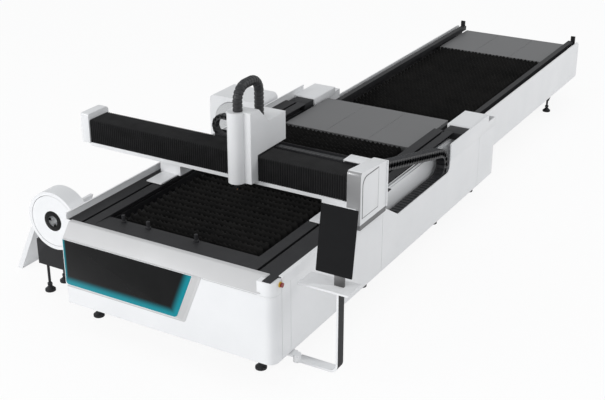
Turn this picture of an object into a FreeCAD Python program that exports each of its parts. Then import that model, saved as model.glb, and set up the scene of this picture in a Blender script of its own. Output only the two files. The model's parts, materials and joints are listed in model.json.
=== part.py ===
import FreeCAD, Part
import Sketcher
import math
import os
import re

# Fiber laser cutting machine for sheet and tube, with a pallet changer behind the bed.
# Millimetres. X runs across the bed, Y from its front to its rear, Z up from the floor.
# Every position below is measured from the front panel's left end at floor level, and
# origin_x and origin_y bring the part's own origin to the middle of its footprint.

os.makedirs("parts", exist_ok=True)
doc = FreeCAD.newDocument("laser_cutter")
sheet = doc.addObject("Spreadsheet::Sheet", "Sizes")
Vector = FreeCAD.Vector

sizes = {
    # where the part's own origin lies
    "origin_x": 774.5,
    "origin_y": 4465,
    # widths across the bed, from its left cover to its right one
    "bed_left": -50,
    "left_bay": 80,
    "side_beam_width": 160,
    "track_room": 80,
    "pallet_width": 1580,
    "right_bay": 160,
    # lengths along the bed and its changer
    "bed_length": 4960,
    "changer_end": 8930,
    # levels from the floor up
    "panel_bottom": 250,
    "side_beam_foot": 300,
    "side_beam_top": 960,
    "cover_rise": 85,
    "rim_rise": 7,
    "left_rim_rise": 63,
    "end_block_rise": 25,
    "tip_rise": 60,
    # bed covers
    "skin": 8,
    "corner_radius": 85,
    "corner_seam": 144,
    "seam_gap": 4,
    "fascia_height": 152,
    "fascia_setback": 90,
    "fascia_depth": 140,
    "fascia_end_gap": 110,
    "band_height": 95,
    "band_proud": 6,
    "band_end": 280,
    "rear_band_height": 192,
    "rim_lip": 30,
    "seam_setback": 240,
    "rear_seam_setback": 460,
    # front window
    "window_left": 6,
    "window_drop": 7,
    "window_height": 438,
    "window_top_right": 1439,
    "window_slant": 182,
    "window_flange": 14,
    "window_thickness": 6,
    "light_width": 16,
    "light_proud": 5,
    # bed frame
    "side_beam_wall": 12,
    "frame_setback": 145,
    "cross_member": 100,
    "hopper_wall": 6,
    "hopper_flat": 600,
    "hopper_depth": 169,
    "hopper_setback": 200,
    # rails of the gantry
    "rail_width": 30,
    "rail_height": 30,
    "rail_inset": 80,
    "rail_end": 20,
    "rack_width": 16,
    "rack_height": 22,
    "rack_inset": 134,
    "block_width": 70,
    "block_height": 48,
    "block_length": 130,
    "running_gap": 0.4,
    "cover_sheet": 8,
    "cover_slot": 30,
    "cover_leg_offset": 46,
    "cover_reach": 45,
    "trough_front": 112,
    "end_room": 930,
    "end_block_length": 420,
    # front sill and pallet stops
    "sill_gap": 8,
    "sill_drop": 12,
    "sill_ledge": 40,
    "sill_skirt": 60,
    "stop_radius": 17,
    "stop_height": 82,
    "stop_base": 28,
    "stop_setback": 45,
    # drag chain along the right side
    "chain_width": 105,
    "chain_height": 95,
    "chain_pitch": 62,
    "recess_front": 2270,
    "recess_length": 1340,
    "recess_depth": 314,
    "tray_tail": 1020,
    "chain_setback": 20,
    "chain_bend_setback": 160,
    "chain_bend_radius": 100,
    "chain_clear": 6,
    "chain_entry": 150,
    "chain_end_run": 70,
    "inner_wall_drop": 25,
    # gantry
    "beam_front": 1500,
    "beam_depth": 200,
    "beam_rise": 265,
    "beam_height": 175,
    "beam_left": -860,
    "beam_end_gap": 25,
    "beam_wall": 10,
    "bellows_reach": 50,
    "bellows_drop": 18,
    "bellows_rise": 55,
    "bellows_end": 180,
    "pleat_depth": 16,
    "pleat_pitch": 42,
    "bellows_wall": 2,
    "cap_thickness": 100,
    "cap_round": 30,
    "lip_height": 38,
    "lip_sheet": 4,
    "x_rail_width": 20,
    "x_rail_height": 18,
    "x_rail_inset": 20,
    "trough_width": 125,
    "trough_left": 322,
    "trough_rise": 15,
    "trough_depth": 60,
    "trough_arm": 30,
    "x_chain_width": 70,
    "x_chain_height": 44,
    "x_chain_pitch": 46,
    "x_chain_bend_x": 580,
    "x_chain_bend_radius": 104,
    "housing_overhang": 40,
    "housing_lead": 8,
    "housing_tail": 330,
    "housing_rise": 45,
    "housing_drop": 67,
    "housing_wall": 12,
    "housing_round": 45,
    "saddle_clear": 8,
    "saddle_lead": 305,
    "saddle_setback": 20,
    "saddle_plate": 12,
    "motor_radius": 42,
    "motor_setback": 40,
    "motor_height": 210,
    "gearbox_width": 100,
    "gearbox_length": 120,
    "gearbox_height": 108,
    # cutting head
    "head_middle": 1075,
    "head_width": 250,
    "head_reach": 205,
    "head_tail": 212,
    "head_box_room": 19,
    "head_box_rise": 307,
    "column_offset": 37,
    "column_radius": 86,
    "column_drop": 13,
    "column_rise": 467,
    "slope_lead": 20,
    "slope_depth": 160,
    "carriage_clear": 6,
    "cutter_radius": 46,
    "cutter_rise": 25,
    "slide_half": 34,
    "slide_rise": 20,
    "slide_length": 180,
    "nozzle_drop": 97,
    "nozzle_length": 18,
    "conduit_radius": 47,
    "conduit_wall": 6,
    "conduit_rib": 5,
    "conduit_pitch": 40,
    "conduit_lead": 95,
    "conduit_tail": 72,
    "conduit_rise": 278,
    "conduit_offset": 20,
    # pallets and their changer
    "pallet_front": 400,
    "pallet_length": 4100,
    "slat_zone": 3070,
    "slat_pitch": 100,
    "slat_thickness": 4,
    "tooth_count": 12,
    "tooth_height": 26,
    "slat_height": 120,
    "level_step": 205,
    "pallet_beam": 60,
    "frame_drop": 160,
    "pallet_frame_height": 80,
    "axle_drop": 135,
    "cover_plate_drop": 35,
    "cover_plate_wall": 5,
    "seat": 0.3,
    "wheel_radius": 35,
    "wheel_width": 34,
    "wheel_gap": 8,
    "track_height": 60,
    "track_end": 60,
    "changer_skin": 12,
    "changer_beam_width": 70,
    "changer_drop": 175,
    "changer_bottom": 320,
    "changer_tie": 80,
    "changer_foot_front": 440,
    "changer_foot_rear": 836,
    # feet
    "foot_radius": 52,
    "foot_pad": 16,
    "foot_stem": 14,
    "foot_nut": 28,
    "foot_setback": 130,
    "foot_inset": 60,
    "foot_second": 2080,
    "foot_third": 3810,
    # tube station
    "chuck_x": -443,
    "chuck_z": 842,
    "chuck_front": 350,
    "chuck_depth": 200,
    "chuck_radius": 298,
    "rotor_radius": 258,
    "chuck_bore": 92,
    "barrel_wall": 30,
    "jaw_width": 30,
    "jaw_thickness": 46,
    "jaw_reach": 40,
    "jaw_length": 105,
    "jaw_sink": 24,
    "base_left": -850,
    "base_right": -62,
    "base_rear": 700,
    "base_bottom": 215,
    "base_drop": 255,
    "cradle_half": 230,
    "cradle_drop": 60,
    "tie_width": 50,
    "tie_reach": 40,
    "feed_front": 1950,
    "feed_rear": 4900,
    "feed_half_width": 190,
    "feed_foot": 120,
    "feed_top": 470,
    "feed_rail_offset": 130,
    "feed_rail_half": 15,
    "feed_rail_height": 28,
    "feed_tie": 60,
    "feed_tie_setback": 300,
    "rear_chuck_front": 3500,
    "rear_chuck_depth": 460,
    "rear_chuck_half": 330,
    "rear_chuck_rise": 308,
    "rear_chuck_lift": 60,
    "rear_chuck_round": 60,
    "rear_jaw_reach": 45,
    "chute_front": 640,
    "chute_length": 900,
    "chute_top": 560,
    "chute_lip": 150,
    "chute_throw": 425,
    "chute_sheet": 60,
    "chute_arm": 40,
    # operator console
    "pivot_reach": 54,
    "pivot_y": 300,
    "pivot_radius": 36,
    "pivot_plate": 14,
    "arm_height": 190,
    "arm_width": 100,
    "arm_sheet": 20,
    "arm_reach": 406,
    "arm_bend": 80,
    "tray_gap": 18,
    "tray_width": 478,
    "tray_front": 282,
    "tray_depth": 233,
    "tray_height": 935,
    "tray_sheet": 18,
    "monitor_reach": 351,
    "monitor_width": 338,
    "monitor_tall": 578,
    "monitor_thick": 46,
    "monitor_y": 330,
    "monitor_foot": 1098,
    "monitor_lean": 16,
    "monitor_bezel": 3,
    "lug_half": 30,
    "lug_depth": 36,
    "lug_height": 30,
    "ear_outside": 45,
    "neck_gap": 12,
    "neck_depth": 28,
    "tilt_pin": 6,
    "tilt_rise": 20,
    # emergency stop
    "stop_button_y": 112,
    "stop_button_rise": 92,
    "stop_button_radius": 21,
    "stop_cap": 14,
    "stop_collar": 8,
    "stop_stem": 8,
    "stop_travel": 6,
    "stop_stem_room": 20,
}

# Places that follow from the sizes above. Each is written out wherever its name is used.
places = {
    "side_beam_inside": "pallet_width / 2 + track_room",
    "pallet_middle": "bed_left + left_bay + side_beam_width + side_beam_inside",
    "bed_right": "pallet_middle + side_beam_inside + side_beam_width + right_bay",
    "cover_inner_edge": "side_beam_inside - cover_reach",
    "cover_top": "side_beam_top + cover_rise",
    "rim_height": "cover_top + rim_rise",
    "left_rim_height": "rim_height + left_rim_rise",
    "fascia_foot": "rim_height - fascia_height",
    "window_top": "fascia_foot - window_drop",
    "window_bottom": "window_top - window_height",
    "window_bottom_right": "window_top_right - window_slant",
    "upper_tip": "side_beam_top + tip_rise",
    "hopper_rim": "side_beam_foot + cross_member + hopper_wall + hopper_depth",
    "end_block_front": "bed_length - end_room",
    "end_block_rear": "end_block_front + end_block_length",
    "end_block_top": "left_rim_height + end_block_rise",
    "sill_rear": "pallet_front - sill_gap",
    "first_seam": "recess_front - seam_setback",
    "second_seam": "bed_length - rear_seam_setback",
    "recess_rear": "recess_front + recess_length",
    "chain_floor": "rim_height - recess_depth",
    "chain_anchor": "recess_front + chain_setback",
    "chain_bend_y": "recess_rear - chain_bend_setback",
    "inner_wall_top": "side_beam_top - inner_wall_drop",
    "beam_rear": "beam_front + beam_depth",
    "beam_bottom": "side_beam_top + beam_rise",
    "beam_top": "beam_bottom + beam_height",
    "beam_right": "bed_right - beam_end_gap",
    "bellows_front": "beam_front - bellows_reach",
    "bellows_rear": "beam_rear + bellows_reach",
    "bellows_bottom": "beam_bottom - bellows_drop",
    "bellows_top": "beam_top + bellows_rise",
    "bellows_right": "pallet_middle + side_beam_inside + bellows_end",
    "trough_rim": "bellows_top + trough_rise",
    "trough_floor": "trough_rim - trough_depth",
    "housing_right": "bed_right + housing_overhang",
    "housing_front": "bellows_front - housing_lead",
    "housing_rear": "beam_rear + housing_tail",
    "housing_top": "bellows_top + housing_rise",
    "housing_skirt": "rim_height - housing_drop",
    "saddle_foot": "cover_top + saddle_clear",
    "saddle_skirt_front": "beam_front - saddle_lead",
    "saddle_skirt_rear": "housing_rear - saddle_setback",
    "column_front": "bellows_front - head_reach",
    "column_axis": "column_front + column_radius",
    "column_middle": "head_middle - column_offset",
    "column_bottom": "beam_bottom - column_drop",
    "column_top": "bellows_top + column_rise",
    "head_box_foot": "bellows_top + head_box_room",
    "head_box_top": "bellows_top + head_box_rise",
    "head_box_rear": "bellows_rear + head_tail",
    "head_slope_front": "beam_front - slope_lead",
    "head_slope_rear": "head_slope_front + slope_depth",
    "cutter_top": "bellows_top + cutter_rise",
    "slide_foot": "beam_bottom + slide_rise",
    "nozzle_tip": "beam_bottom - nozzle_drop",
    "conduit_front_y": "column_front + conduit_lead",
    "conduit_rear_y": "head_slope_rear + conduit_tail",
    "conduit_top": "column_top + conduit_rise",
    "changer_half_width": "side_beam_inside + changer_beam_width",
    "changer_top": "upper_tip - changer_drop",
    "changer_foot_first": "bed_length + changer_foot_front",
    "changer_foot_last": "changer_end - changer_foot_rear",
    "rear_chuck_top": "chuck_z + rear_chuck_rise",
    "pivot_x": "bed_right + pivot_reach",
    "post_x": "pivot_x + arm_reach",
    "tray_left": "pivot_x + tray_gap",
    "tray_right": "tray_left + tray_width",
    "tray_rear": "tray_front + tray_depth",
    "monitor_middle": "pivot_x + monitor_reach",
    "stop_button_z": "fascia_foot + stop_button_rise",
}
for row, (name, value) in enumerate(sizes.items(), 1):
    sheet.set(f"A{row}", name)
    sheet.set(f"B{row}", str(value))
    sheet.setAlias(f"B{row}", name)
doc.recompute()

NODES = []


def formula(text):
    """The text as an expression over the sheet's cells, with each worked-out place written in full."""
    def swap(match):
        word = match[0]
        if word in places:
            return f"({formula(places[word])})"
        return f"Sizes.{word}" if word in sizes else word

    return re.sub(r"[a-z][a-z_0-9]*", swap, text)


def number(text):
    """The value in millimetres of an expression over the sizes."""
    return float(sheet.evalExpression(formula(text)))


def bind(item, prop, text):
    item.setExpression(prop, formula(text))


def place(item, x, y, z):
    """Puts an object where the three expressions say, in the part's own frame."""
    bind(item, "Placement.Base.x", f"({x}) - origin_x")
    bind(item, "Placement.Base.y", f"({y}) - origin_y")
    bind(item, "Placement.Base.z", z)


def point(x, y, z):
    return Vector(x - number("origin_x"), y - number("origin_y"), z)


def slab(x0, x1, y0, y1, z0, z1):
    """A box between two values on each axis."""
    box = doc.addObject("Part::Box", "slab")
    bind(box, "Length", f"({x1}) - ({x0})")
    bind(box, "Width", f"({y1}) - ({y0})")
    bind(box, "Height", f"({z1}) - ({z0})")
    place(box, x0, y0, z0)
    return box


def rod(axis, x, y, z, radius, length):
    """A cylinder that starts at a point and runs along an axis."""
    turns = {
        "X": FreeCAD.Rotation(Vector(0, 1, 0), 90),
        "Y": FreeCAD.Rotation(Vector(1, 0, 0), -90),
        "Z": FreeCAD.Rotation(),
    }
    rod_object = doc.addObject("Part::Cylinder", "rod")
    rod_object.Placement = FreeCAD.Placement(Vector(), turns[axis])
    bind(rod_object, "Radius", radius)
    bind(rod_object, "Height", length)
    place(rod_object, x, y, z)
    return rod_object


def joined(*items):
    """One object out of several: touching solids become one, and others stay separate."""
    fuse = doc.addObject("Part::MultiFuse", "joined")
    fuse.Shapes = list(items)
    fuse.Refine = True
    return fuse


def cut(base, *tools):
    tool = tools[0] if len(tools) == 1 else joined(*tools)
    result = doc.addObject("Part::Cut", "cut")
    result.Base = base
    result.Tool = tool
    result.Refine = True
    return result


def node(name, item):
    """Names a finished sub-part, which is then written to a file of that name."""
    item.Label = name
    NODES.append(item)
    return item


def solid_node(name, shape):
    """A sub-part whose shape comes from the formulas below."""
    feature = doc.addObject("Part::Feature", name)
    feature.Shape = shape
    feature.Placement = FreeCAD.Placement()
    return node(name, feature)


PLANES = {"XY": "XY_Plane", "XZ": "XZ_Plane", "YZ": "YZ_Plane"}


def outline(body, plane, points, offset="0"):
    """A closed sketch whose corners are bound to the sizes, on one of the body's planes."""
    sketch = body.newObject("Sketcher::SketchObject", "outline")
    base = next(f for f in body.Origin.OriginFeatures if f.Role == PLANES[plane])
    sketch.AttachmentSupport = [(base, "")]
    sketch.MapMode = "FlatFace"
    bind(sketch, "AttachmentOffset.Base.z", offset)
    corners = [(number(u), number(v)) for u, v in points]
    count = len(corners)
    for i, (u, v) in enumerate(corners):
        following = corners[(i + 1) % count]
        sketch.addGeometry(Part.LineSegment(Vector(u, v, 0), Vector(following[0], following[1], 0)), False)
    for i in range(count):
        sketch.addConstraint(Sketcher.Constraint("Coincident", i, 2, (i + 1) % count, 1))
    for i, (u, v) in enumerate(points):
        for kind, value, text in (("DistanceX", corners[i][0], u), ("DistanceY", corners[i][1], v)):
            k = sketch.addConstraint(Sketcher.Constraint(kind, -1, 1, i, 1, value))
            sketch.setExpression(f"Constraints[{k}]", formula(text))
    return sketch


def upright_at(x, y):
    """A rule that picks the upright edge standing at a place."""
    spot = point(number(x), number(y), 0)

    def rule(a, b):
        return all(abs(p.x - spot.x) < 1e-6 and abs(p.y - spot.y) < 1e-6 for p in (a, b))

    return rule


def level_at(x, z):
    """A rule that picks the edge along the bed at a place."""
    spot = point(number(x), 0, number(z))

    def rule(a, b):
        return all(abs(p.x - spot.x) < 1e-6 and abs(p.z - spot.z) < 1e-6 for p in (a, b))

    return rule


def padded(plane, points, length, offset="0"):
    """A body made by padding an outline. An XZ outline is padded towards the front."""
    body = doc.addObject("PartDesign::Body", "body")
    sketch = outline(body, plane, points, offset)
    pad = body.newObject("PartDesign::Pad", "pad")
    pad.Profile = sketch
    bind(pad, "Length", length)
    place(body, "0", "0", "0")
    return body


def pocketed(body, plane, points, length, offset="0", back=False):
    """Cuts an outline out of a body, along the plane's normal or back against it."""
    doc.recompute()
    before = body.Shape.Volume
    sketch = outline(body, plane, points, offset)
    pocket = body.newObject("PartDesign::Pocket", "pocket")
    pocket.Profile = sketch
    pocket.Reversed = back
    bind(pocket, "Length", length)
    doc.recompute()
    if body.Shape.Volume >= before - 1:
        raise RuntimeError("a pocket cuts nothing")
    return body


def rounded_edges(body, radius, chosen):
    """Rounds the edges of a body that the rule picks, by their two ends."""
    doc.recompute()
    names = []
    for i, edge in enumerate(body.Shape.Edges, 1):
        ends = [v.Point for v in edge.Vertexes]
        if len(ends) == 2 and chosen(ends[0], ends[1]):
            names.append(f"Edge{i}")
    fillet = body.newObject("PartDesign::Fillet", "rounding")
    fillet.Base = (body.Tip if body.Tip != fillet else fillet.BaseFeature, names)
    bind(fillet, "Radius", radius)
    return body


# ---- shared places -------------------------------------------------------------------------

left_inside = "pallet_middle - side_beam_inside"
right_inside = "pallet_middle + side_beam_inside"
left_outside = f"{left_inside} - side_beam_width"
right_outside = f"{right_inside} + side_beam_width"
left_rail = f"{left_inside} - rail_inset"
right_rail = f"{right_inside} + rail_inset"
chain_inside = "bed_right - 2 * skin - chain_width - 3 * chain_clear"
sides = ((-1, left_inside, left_rail), (1, right_inside, right_rail))


def mirrored(side, offset):
    """An X position at some distance from the pallets' middle line, on the given side."""
    return f"pallet_middle + {side} * ({offset})"


def span(side, near, far):
    """Two X positions in rising order, at two distances from the middle line."""
    ends = (mirrored(side, near), mirrored(side, far))
    return ends if side > 0 else ends[::-1]


# ---- bed frame -----------------------------------------------------------------------------


def bed_frame():
    pieces = []
    for side, _, _ in sides:
        x0, x1 = span(side, "side_beam_inside", "side_beam_inside + side_beam_width")
        shell = slab(x0, x1, "frame_setback", "bed_length - skin", "side_beam_foot", "side_beam_top")
        hollow = slab(
            f"{x0} + side_beam_wall", f"{x1} - side_beam_wall", "frame_setback - 1", "bed_length",
            "side_beam_foot + side_beam_wall", "side_beam_top - side_beam_wall",
        )
        pieces.append(cut(shell, hollow))
    for share in (0.02, 0.26, 0.5, 0.74, 0.97):
        y = f"frame_setback + {share} * (bed_length - frame_setback - cross_member)"
        pieces.append(
            slab(left_inside, right_inside, y, f"{y} + cross_member", "side_beam_foot",
                 "side_beam_foot + cross_member")
        )
    return node("bed_frame", joined(*pieces))


def scrap_hopper():
    """The folded sheet under the pallets, which slopes down to a flat middle on the cross members."""
    wall = "hopper_wall"
    floor = "side_beam_foot + cross_member + seat"
    left, right = f"{left_inside} + seat", f"{right_inside} - seat"
    half = "hopper_flat / 2"
    points = [
        (left, "hopper_rim"), (f"pallet_middle - {half}", f"{floor} + {wall}"),
        (f"pallet_middle + {half}", f"{floor} + {wall}"), (right, "hopper_rim"),
        (right, f"hopper_rim - 1.05 * {wall}"), (f"pallet_middle + {half}", floor),
        (f"pallet_middle - {half}", floor), (left, f"hopper_rim - 1.05 * {wall}"),
    ]
    body = padded("XZ", points, "bed_length - frame_setback - 2 * hopper_setback",
                  "-frame_setback - hopper_setback")
    body.Tip.Reversed = True
    return node("scrap_hopper", body)


# ---- covers of the bed ---------------------------------------------------------------------


def front_panel():
    """The lower front sheet, folded round the right corner, with the window's opening."""
    body = padded(
        "XY",
        [("0", "0"), ("bed_right", "0"), ("bed_right", "corner_seam - seam_gap"),
         ("bed_right - skin", "corner_seam - seam_gap"), ("bed_right - skin", "skin"), ("skin", "skin"),
         ("skin", "trough_front"), ("0", "trough_front")],
        "fascia_foot - seat - panel_bottom", "panel_bottom",
    )
    rounded_edges(body, "corner_radius", upright_at("bed_right", "0"))
    rounded_edges(body, "corner_radius - skin", upright_at("bed_right - skin", "skin"))
    pocketed(
        body, "XZ",
        [("window_left", "window_top"), ("window_top_right", "window_top"),
         ("window_bottom_right", "window_bottom"), ("window_left", "window_bottom")],
        "3 * skin", "-2 * skin", True,
    )
    return node("front_panel", body)


def front_window():
    flange = "window_flange"
    body = padded(
        "XZ",
        [("window_left + seam_gap", "window_top"), (f"window_top_right + {flange}", "window_top"),
         (f"window_bottom_right + {flange}", f"window_bottom - {flange}"),
         ("window_left + seam_gap", f"window_bottom - {flange}")],
        "window_thickness", "-skin - window_thickness",
    )
    return node("front_window", body)


def window_light_strip():
    """The lit diffuser along the window's lower and slanted right edges, in front of the glass."""
    w = "light_width"
    body = padded(
        "XZ",
        [("window_left", "window_bottom"), ("window_bottom_right", "window_bottom"),
         ("window_top_right", "window_top"), (f"window_top_right - {w}", "window_top"),
         (f"window_bottom_right - {w}", f"window_bottom + {w}"), ("window_left", f"window_bottom + {w}")],
        "light_proud", "-skin",
    )
    return node("window_light_strip", body)


def front_fascia():
    """The folded sloping cover above the window, closed at both ends and open below."""
    body = padded(
        "YZ",
        [("0", "fascia_foot"), ("fascia_setback", "rim_height"), ("fascia_depth", "rim_height"),
         ("fascia_depth", "fascia_foot")],
        "bed_right - fascia_end_gap", "0",
    )
    post = padded(
        "XY",
        [("bed_right - fascia_end_gap", "0"), ("bed_right", "0"), ("bed_right", "fascia_depth"),
         ("bed_right - fascia_end_gap", "fascia_depth")],
        "cover_top - cover_sheet - seat - fascia_foot", "fascia_foot",
    )
    rounded_edges(post, "corner_radius", upright_at("bed_right", "0"))
    wall = "1.5 * skin"
    pocketed(
        body, "YZ",
        [(wall, "fascia_foot - 1"), ("fascia_setback + skin / 2", "rim_height - skin"),
         ("fascia_depth - skin", "rim_height - skin"), ("fascia_depth - skin", "fascia_foot - 1")],
        "bed_right - fascia_end_gap - 2 * skin", "skin", True,
    )
    stem_room = rod("X", "bed_right - stop_stem_room", "stop_button_y", "stop_button_z", "stop_stem + seat",
                    "stop_stem_room + 1")
    return node("front_fascia", cut(joined(body, post), stem_room))


def right_side_panel():
    sheet_front = "corner_seam"
    outer = slab("bed_right - skin", "bed_right", sheet_front, "bed_length", "panel_bottom", "rim_height")
    lip = slab("bed_right - rim_lip", "bed_right", sheet_front, "recess_front", "rim_height - skin",
               "rim_height")
    band = slab("bed_right", "bed_right + band_proud", sheet_front, "recess_front - band_end",
                "rim_height - band_height", "rim_height")
    rear_band = slab("bed_right", "bed_right + band_proud", "recess_rear", "bed_length",
                     "rim_height - rear_band_height", "rim_height")
    rear = slab(right_outside, "bed_right", "bed_length - skin", "bed_length", "panel_bottom",
                "side_beam_top")
    rear_room = slab("bed_right - rim_lip - 1", "bed_right + 50", "end_block_rear + seat", "bed_length + 1",
                     "side_beam_top", "rim_height + 1")
    recess = slab("bed_right - rim_lip - 1", "bed_right + 50", "recess_front", "recess_rear",
                  "chain_floor - skin",
                  "rim_height + 1")
    seams = [
        slab("bed_right - skin / 2", "bed_right + 50", f"{seam} - seam_gap / 2", f"{seam} + seam_gap / 2",
             "panel_bottom - 1", "rim_height - band_height - 1")
        for seam in ("first_seam", "2 * corner_seam")
    ]
    seams.append(
        slab("bed_right - skin / 2", "bed_right + 50", "second_seam - seam_gap / 2",
             "second_seam + seam_gap / 2",
             "panel_bottom - 1", "rim_height - rear_band_height - 1")
    )
    return node("right_side_panel", cut(joined(outer, lip, band, rear_band, rear), recess, rear_room,
                                        *seams))


def left_side_panel():
    outer = slab("bed_left", "bed_left + skin", "trough_front", "bed_length", "panel_bottom",
                 "left_rim_height")
    lip = slab("bed_left", "bed_left + rim_lip / 2", "trough_front", "bed_length", "left_rim_height - skin",
               "left_rim_height")
    front = slab("bed_left", "-seat", "trough_front", "trough_front + skin", "panel_bottom", "rim_height")
    rear = slab("bed_left", left_outside, "bed_length - skin", "bed_length", "panel_bottom", "side_beam_top")
    rear_room = slab("bed_left - 1", "bed_left + rim_lip", "end_block_rear + seat", "bed_length + 1",
                     "side_beam_top",
                     "left_rim_height + 1")
    return node("left_side_panel", cut(joined(outer, lip, front, rear), rear_room))


def rail_covers():
    """Dark sheet covers over both gantry rails, each in two strips with a slot between them."""
    pieces = []
    rear = "end_block_front"
    low = "cover_top - cover_sheet"
    slot = "side_beam_inside + rail_inset"
    for side, _, rail in sides:
        x0, x1 = span(side, "cover_inner_edge", f"{slot} - cover_slot / 2")
        pieces.append(slab(x0, x1, "fascia_depth + seat", rear, low, "cover_top"))
        if side < 0:
            x0, x1 = span(side, f"{slot} + cover_slot / 2", "pallet_middle - bed_left - skin")
            pieces.append(slab(x0, x1, "fascia_depth + seat", rear, low, "cover_top"))
        else:
            outer = f"{rail} + cover_slot / 2"
            edge = "bed_right - rim_lip - seat"
            pieces.append(slab(outer, edge, "fascia_depth + seat", "recess_front - skin", low, "cover_top"))
            pieces.append(slab("bed_right - fascia_end_gap + seat", edge, "skin", "fascia_depth + skin", low,
                               "cover_top"))
            pieces.append(slab(outer, f"{chain_inside} + skin", "recess_front - skin - 1", rear, low,
                               "cover_top"))
        for sign in (-1, 1):
            start = f"{slot} + {sign} * cover_leg_offset - cover_sheet / 2"
            x0, x1 = span(side, start, f"{start} + cover_sheet")
            pieces.append(slab(x0, x1, "fascia_depth + seat", rear, "side_beam_top", f"{low} + 1"))
    return node("rail_covers", joined(*pieces))


def front_sill():
    """The folded sheet between the front cover and the pallet, with the three pallet stops on it."""
    high = "cover_top - seat"
    low = "cover_top - sill_drop"
    front = "fascia_depth + seat"
    ledge = f"{front} + sill_ledge"
    body = padded(
        "YZ",
        [(front, high), (ledge, high), ("sill_rear", low), ("sill_rear", f"{low} - sill_skirt"),
         ("sill_rear - skin", f"{low} - sill_skirt"), ("sill_rear - skin", f"{low} - skin"),
         (ledge, f"{high} - skin"), (front, f"{high} - skin")],
        "2 * cover_inner_edge - 2 * seat", f"{mirrored(-1, 'cover_inner_edge')} + seat",
    )
    stops = []
    for share in (0.104, 0.282, 0.616):
        x = f"pallet_middle + {share - 0.5} * pallet_width"
        y = "sill_rear - stop_setback"
        stops.append(rod("Z", x, y, f"{low} - skin / 2", "stop_radius", "stop_height"))
        stops.append(rod("Z", x, y, f"{low} - skin / 2", "1.5 * stop_radius", "stop_base"))
    return node("front_sill", joined(body, *stops))


def end_blocks():
    """White covers over the rear ends of both rails."""
    pieces = []
    near = "cover_inner_edge + 2.5 * skin"
    along = ("end_block_front", "end_block_rear")
    for side, walls, cover, rim in (
        (-1, "pallet_middle - bed_left - rim_lip / 2 - seat", "pallet_middle - bed_left - 2 * skin",
         "left_rim_height"),
        (1, f"{chain_inside} - pallet_middle", "bed_right - pallet_middle", "rim_height"),
    ):
        pieces.append(slab(*span(side, near, walls), *along, "side_beam_top", f"{rim} + seat + 1"))
        pieces.append(slab(*span(side, near, cover), *along, f"{rim} + seat", "end_block_top"))
    return node("end_blocks", joined(*pieces))


def rails_and_racks():
    rails = []
    racks = []
    along = ("frame_setback + rail_end", "end_block_front - rail_end / 2")
    near = "side_beam_inside + rack_inset"
    for side, _, rail in sides:
        rails.append(
            slab(f"{rail} - rail_width / 2", f"{rail} + rail_width / 2", *along, "side_beam_top",
                 "side_beam_top + rail_height")
        )
        racks.append(
            slab(*span(side, near, f"{near} + rack_width"), *along, "side_beam_top",
                 "side_beam_top + rack_height")
        )
    node("y_guide_rails", joined(*rails))
    node("y_racks", joined(*racks))


def chain_tray():
    """The folded tray that the side chain lies in, with its white inner wall."""
    inner = chain_inside
    rear = "recess_rear + tray_tail"
    low = "chain_floor - skin"
    floor = slab(inner, "bed_right", "recess_front", "recess_rear", low, "chain_floor")
    wall = slab(inner, f"{inner} + skin", "recess_front", rear, low, "inner_wall_top")
    run = slab(inner, "bed_right - skin", "recess_rear", rear, low, "chain_floor")
    bracket = slab(right_outside, inner, "recess_front", rear, low, "chain_floor")
    return node("chain_tray", joined(floor, wall, run, bracket))


# ---- pallets and changer -------------------------------------------------------------------

track_near = "pallet_width / 2 + wheel_gap + 2"


def pallet_tracks():
    """Upper and lower wheel tracks, through the bed and the changer."""
    pieces = []
    for side, _, _ in sides:
        for level in ("0", "level_step"):
            top = f"upper_tip - axle_drop - wheel_radius - seat - {level}"
            x0, x1 = span(side, track_near, "side_beam_inside")
            pieces.append(slab(x0, x1, "pallet_front", "changer_end - track_end", f"{top} - track_height",
                               top))
    return node("pallet_tracks", joined(*pieces))


def comb(x0, x1, y, foot, tip):
    """One slat: a flat bar with a saw-tooth upper edge."""
    count = int(number("tooth_count"))
    tooth = number("tooth_height")
    pitch = (x1 - x0) / count
    corners = [point(x0, y, foot), point(x0, y, tip - tooth)]
    for i in range(count):
        corners.append(point(x0 + (i + 0.5) * pitch, y, tip))
        corners.append(point(x0 + (i + 1) * pitch, y, tip - tooth))
    corners.append(point(x1, y, foot))
    face = Part.Face(Part.makePolygon(corners + corners[:1]))
    return face.extrude(Vector(0, number("slat_thickness"), 0))


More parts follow.
